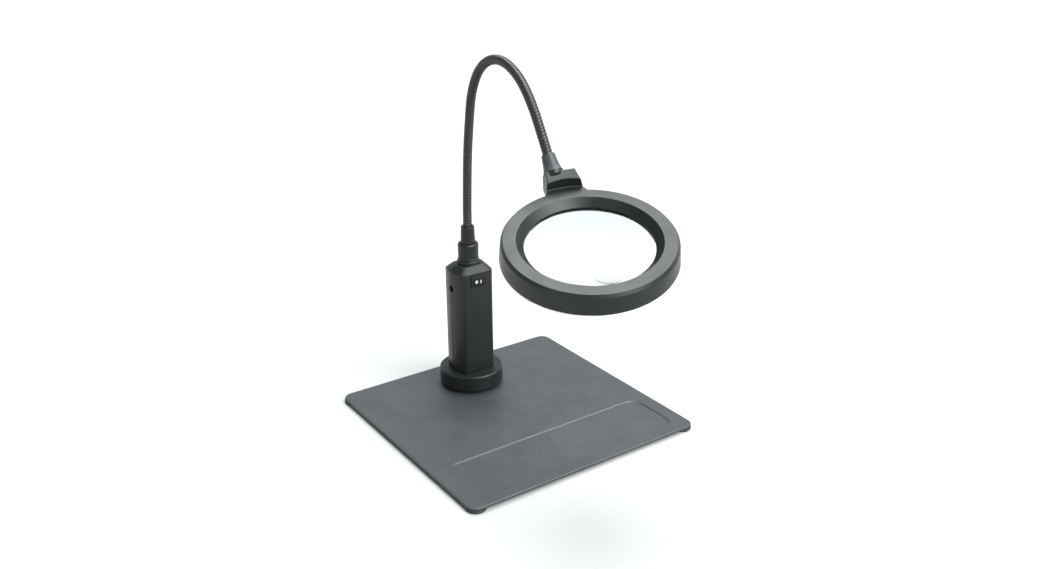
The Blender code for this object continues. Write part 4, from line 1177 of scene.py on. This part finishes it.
def make_rings(head):
    """The upper shell with its cone down to the lens, the lower shell, the lens clamp and the milky ring."""
    ceiling, ledge, skirt = -2.2 * MM, -7.6 * MM, -11.2 * MM
    opening, lens_well, well_wall = 52.4 * MM, 55.4 * MM, 57.2 * MM
    turned("ring_upper", RING_WALL + [
        (58.5 * MM, 0, 0.6 * MM),
        (opening, -6.6 * MM, 0.3 * MM),
        (opening, ledge, 0),
        (lens_well, ledge, 0),
        (lens_well, skirt, 0),
        (well_wall, skirt, 0),
        (well_wall, -4.6 * MM, 0),
        (59.6 * MM, ceiling, 0),
        (68.2 * MM, ceiling, 0),
        (69.3 * MM, -3.4 * MM, 0),
        (70.4 * MM, RING_BOTTOM, 0.2 * MM),
    ], 192, head, "head", "housing", "head_top_ring")
    deck = RING_SPLIT - 0.3 * MM
    under = deck - 1.2 * MM
    inner, lamps_from, lamps_to = 58.6 * MM, 60.1 * MM, 68.1 * MM
    turned("ring_lower", [
        (inner, RING_BOTTOM, 0.3 * MM),
        (lamps_from, RING_BOTTOM, 0.3 * MM),
        (lamps_from, under, 0),
        (lamps_to, under, 0),
        (lamps_to, RING_BOTTOM, 0.2 * MM),
        (69.9 * MM, RING_BOTTOM, 0.2 * MM),
        (69.4 * MM, deck, 0.15 * MM),
        (inner, deck, 0),
    ], 192, head, "head", "housing", "head_bottom_ring")
    top = LENS_TOP - LENS_EDGE - 0.1 * MM
    inner, step, outer = 53.2 * MM, 54.9 * MM, 58.3 * MM
    flange, low = -11.5 * MM, -12.8 * MM
    turned("lens_clamp", [
        (inner, top, 0),
        (step, top, 0),
        (step, flange, 0),
        (outer, flange, 0),
        (outer, low, 0.2 * MM),
        (inner, low, 0.3 * MM),
    ], 160, head, "head", "housing", "lens_retainer")
    top, under, face = RING_BOTTOM + 1.4 * MM, RING_BOTTOM - 0.1 * MM, RING_BOTTOM - 1.3 * MM
    inner, plug, flange = 60.4 * MM, 67.8 * MM, 72.2 * MM
    turned("light_spreader", [
        (inner, top, 0),
        (inner, RING_BOTTOM - 0.6 * MM, 0.3 * MM),
        (61.2 * MM, face, 0.4 * MM),
        (71.6 * MM, face, 0.4 * MM),
        (flange, RING_BOTTOM - 0.8 * MM, 0.2 * MM),
        (flange, under, 0.1 * MM),
        (plug, under, 0),
        (plug, top, 0),
    ], 192, head, "head", "diffuser", "diffuser_ring")


def dome(radius, curve, steps):
    """(radius, rise) points of a shallow spherical cap, from its rim to its middle."""
    rim = sqrt(curve**2 - radius**2)
    radii = [radius * (1 - i / steps) for i in range(steps + 1)]
    return [(r, sqrt(curve**2 - r**2) - rim) for r in radii]


def make_lens(head):
    """The clear biconvex lens, with the stronger small lens square on its curved underside."""
    low = LENS_TOP - LENS_EDGE
    arc = dome(LENS_OPENING, LENS_CURVE, 24)
    profile = [(55.1 * MM, low), (55.1 * MM, LENS_TOP)]
    profile += [(r, LENS_TOP + rise) for r, rise in arc]
    profile += [(r, low - rise) for r, rise in arc[::-1]]
    lens = make_object("reading_lens", lathe(profile, 192))
    spot = [(0, 1.2 * MM), (SPOT_RADIUS, 1.2 * MM)]
    spot += [(r, -0.2 * MM - rise) for r, rise in dome(SPOT_RADIUS, SPOT_CURVE, 16)]
    centre = Matrix.Translation((0, 0, low + sqrt(LENS_CURVE**2 - LENS_OPENING**2)))
    tilt = asin(SPOT_PLACE.length / LENS_CURVE)
    turn = Matrix.Rotation(tilt, 4, SPOT_PLACE.cross(Vector((0, 0, 1))))
    place = centre @ turn @ Matrix.Translation((0, 0, -LENS_CURVE))
    boolean(lens, lathe(spot, 96), "UNION", place)
    lens.data.transform(head)
    lens.data.set_sharp_from_angle(angle=radians(12))
    finish_piece(lens, "head", "lens", "lens")


# ======== CAD nodes that stay as they are
def dress_carried_nodes():
    """Every CAD node that still shows gets the procedural material of its slot."""
    by_slot = {}
    for slot, material in FINISHES.values():
        by_slot.setdefault(slot, material)
    slots = {part["node"]: part["material_slot"] for part in frame["record"]["subparts"]}
    for name, node in frame["nodes"].items():
        if node.hide_render:
            continue
        chosen = FINISHES["magnet"][1] if name == "base_magnet" else by_slot[slots[name]]
        for slot in node.material_slots:
            slot.link = "OBJECT"
            slot.material = chosen


def main():
    make_camera()
    make_light()
    make_floor()
    make_finishes()
    make_plate()
    make_feet()
    make_disc()
    make_shells()
    make_shell_screws()
    make_cover()
    make_cells()
    make_springs()
    make_switch()
    make_jack()
    make_neck()
    make_neck_base()
    entry = entry_matrix()
    head = head_matrix(entry.translation)
    make_ferrule(entry)
    make_bracket(head, entry)
    make_rings(head)
    make_lens(head)
    dress_carried_nodes()


main()
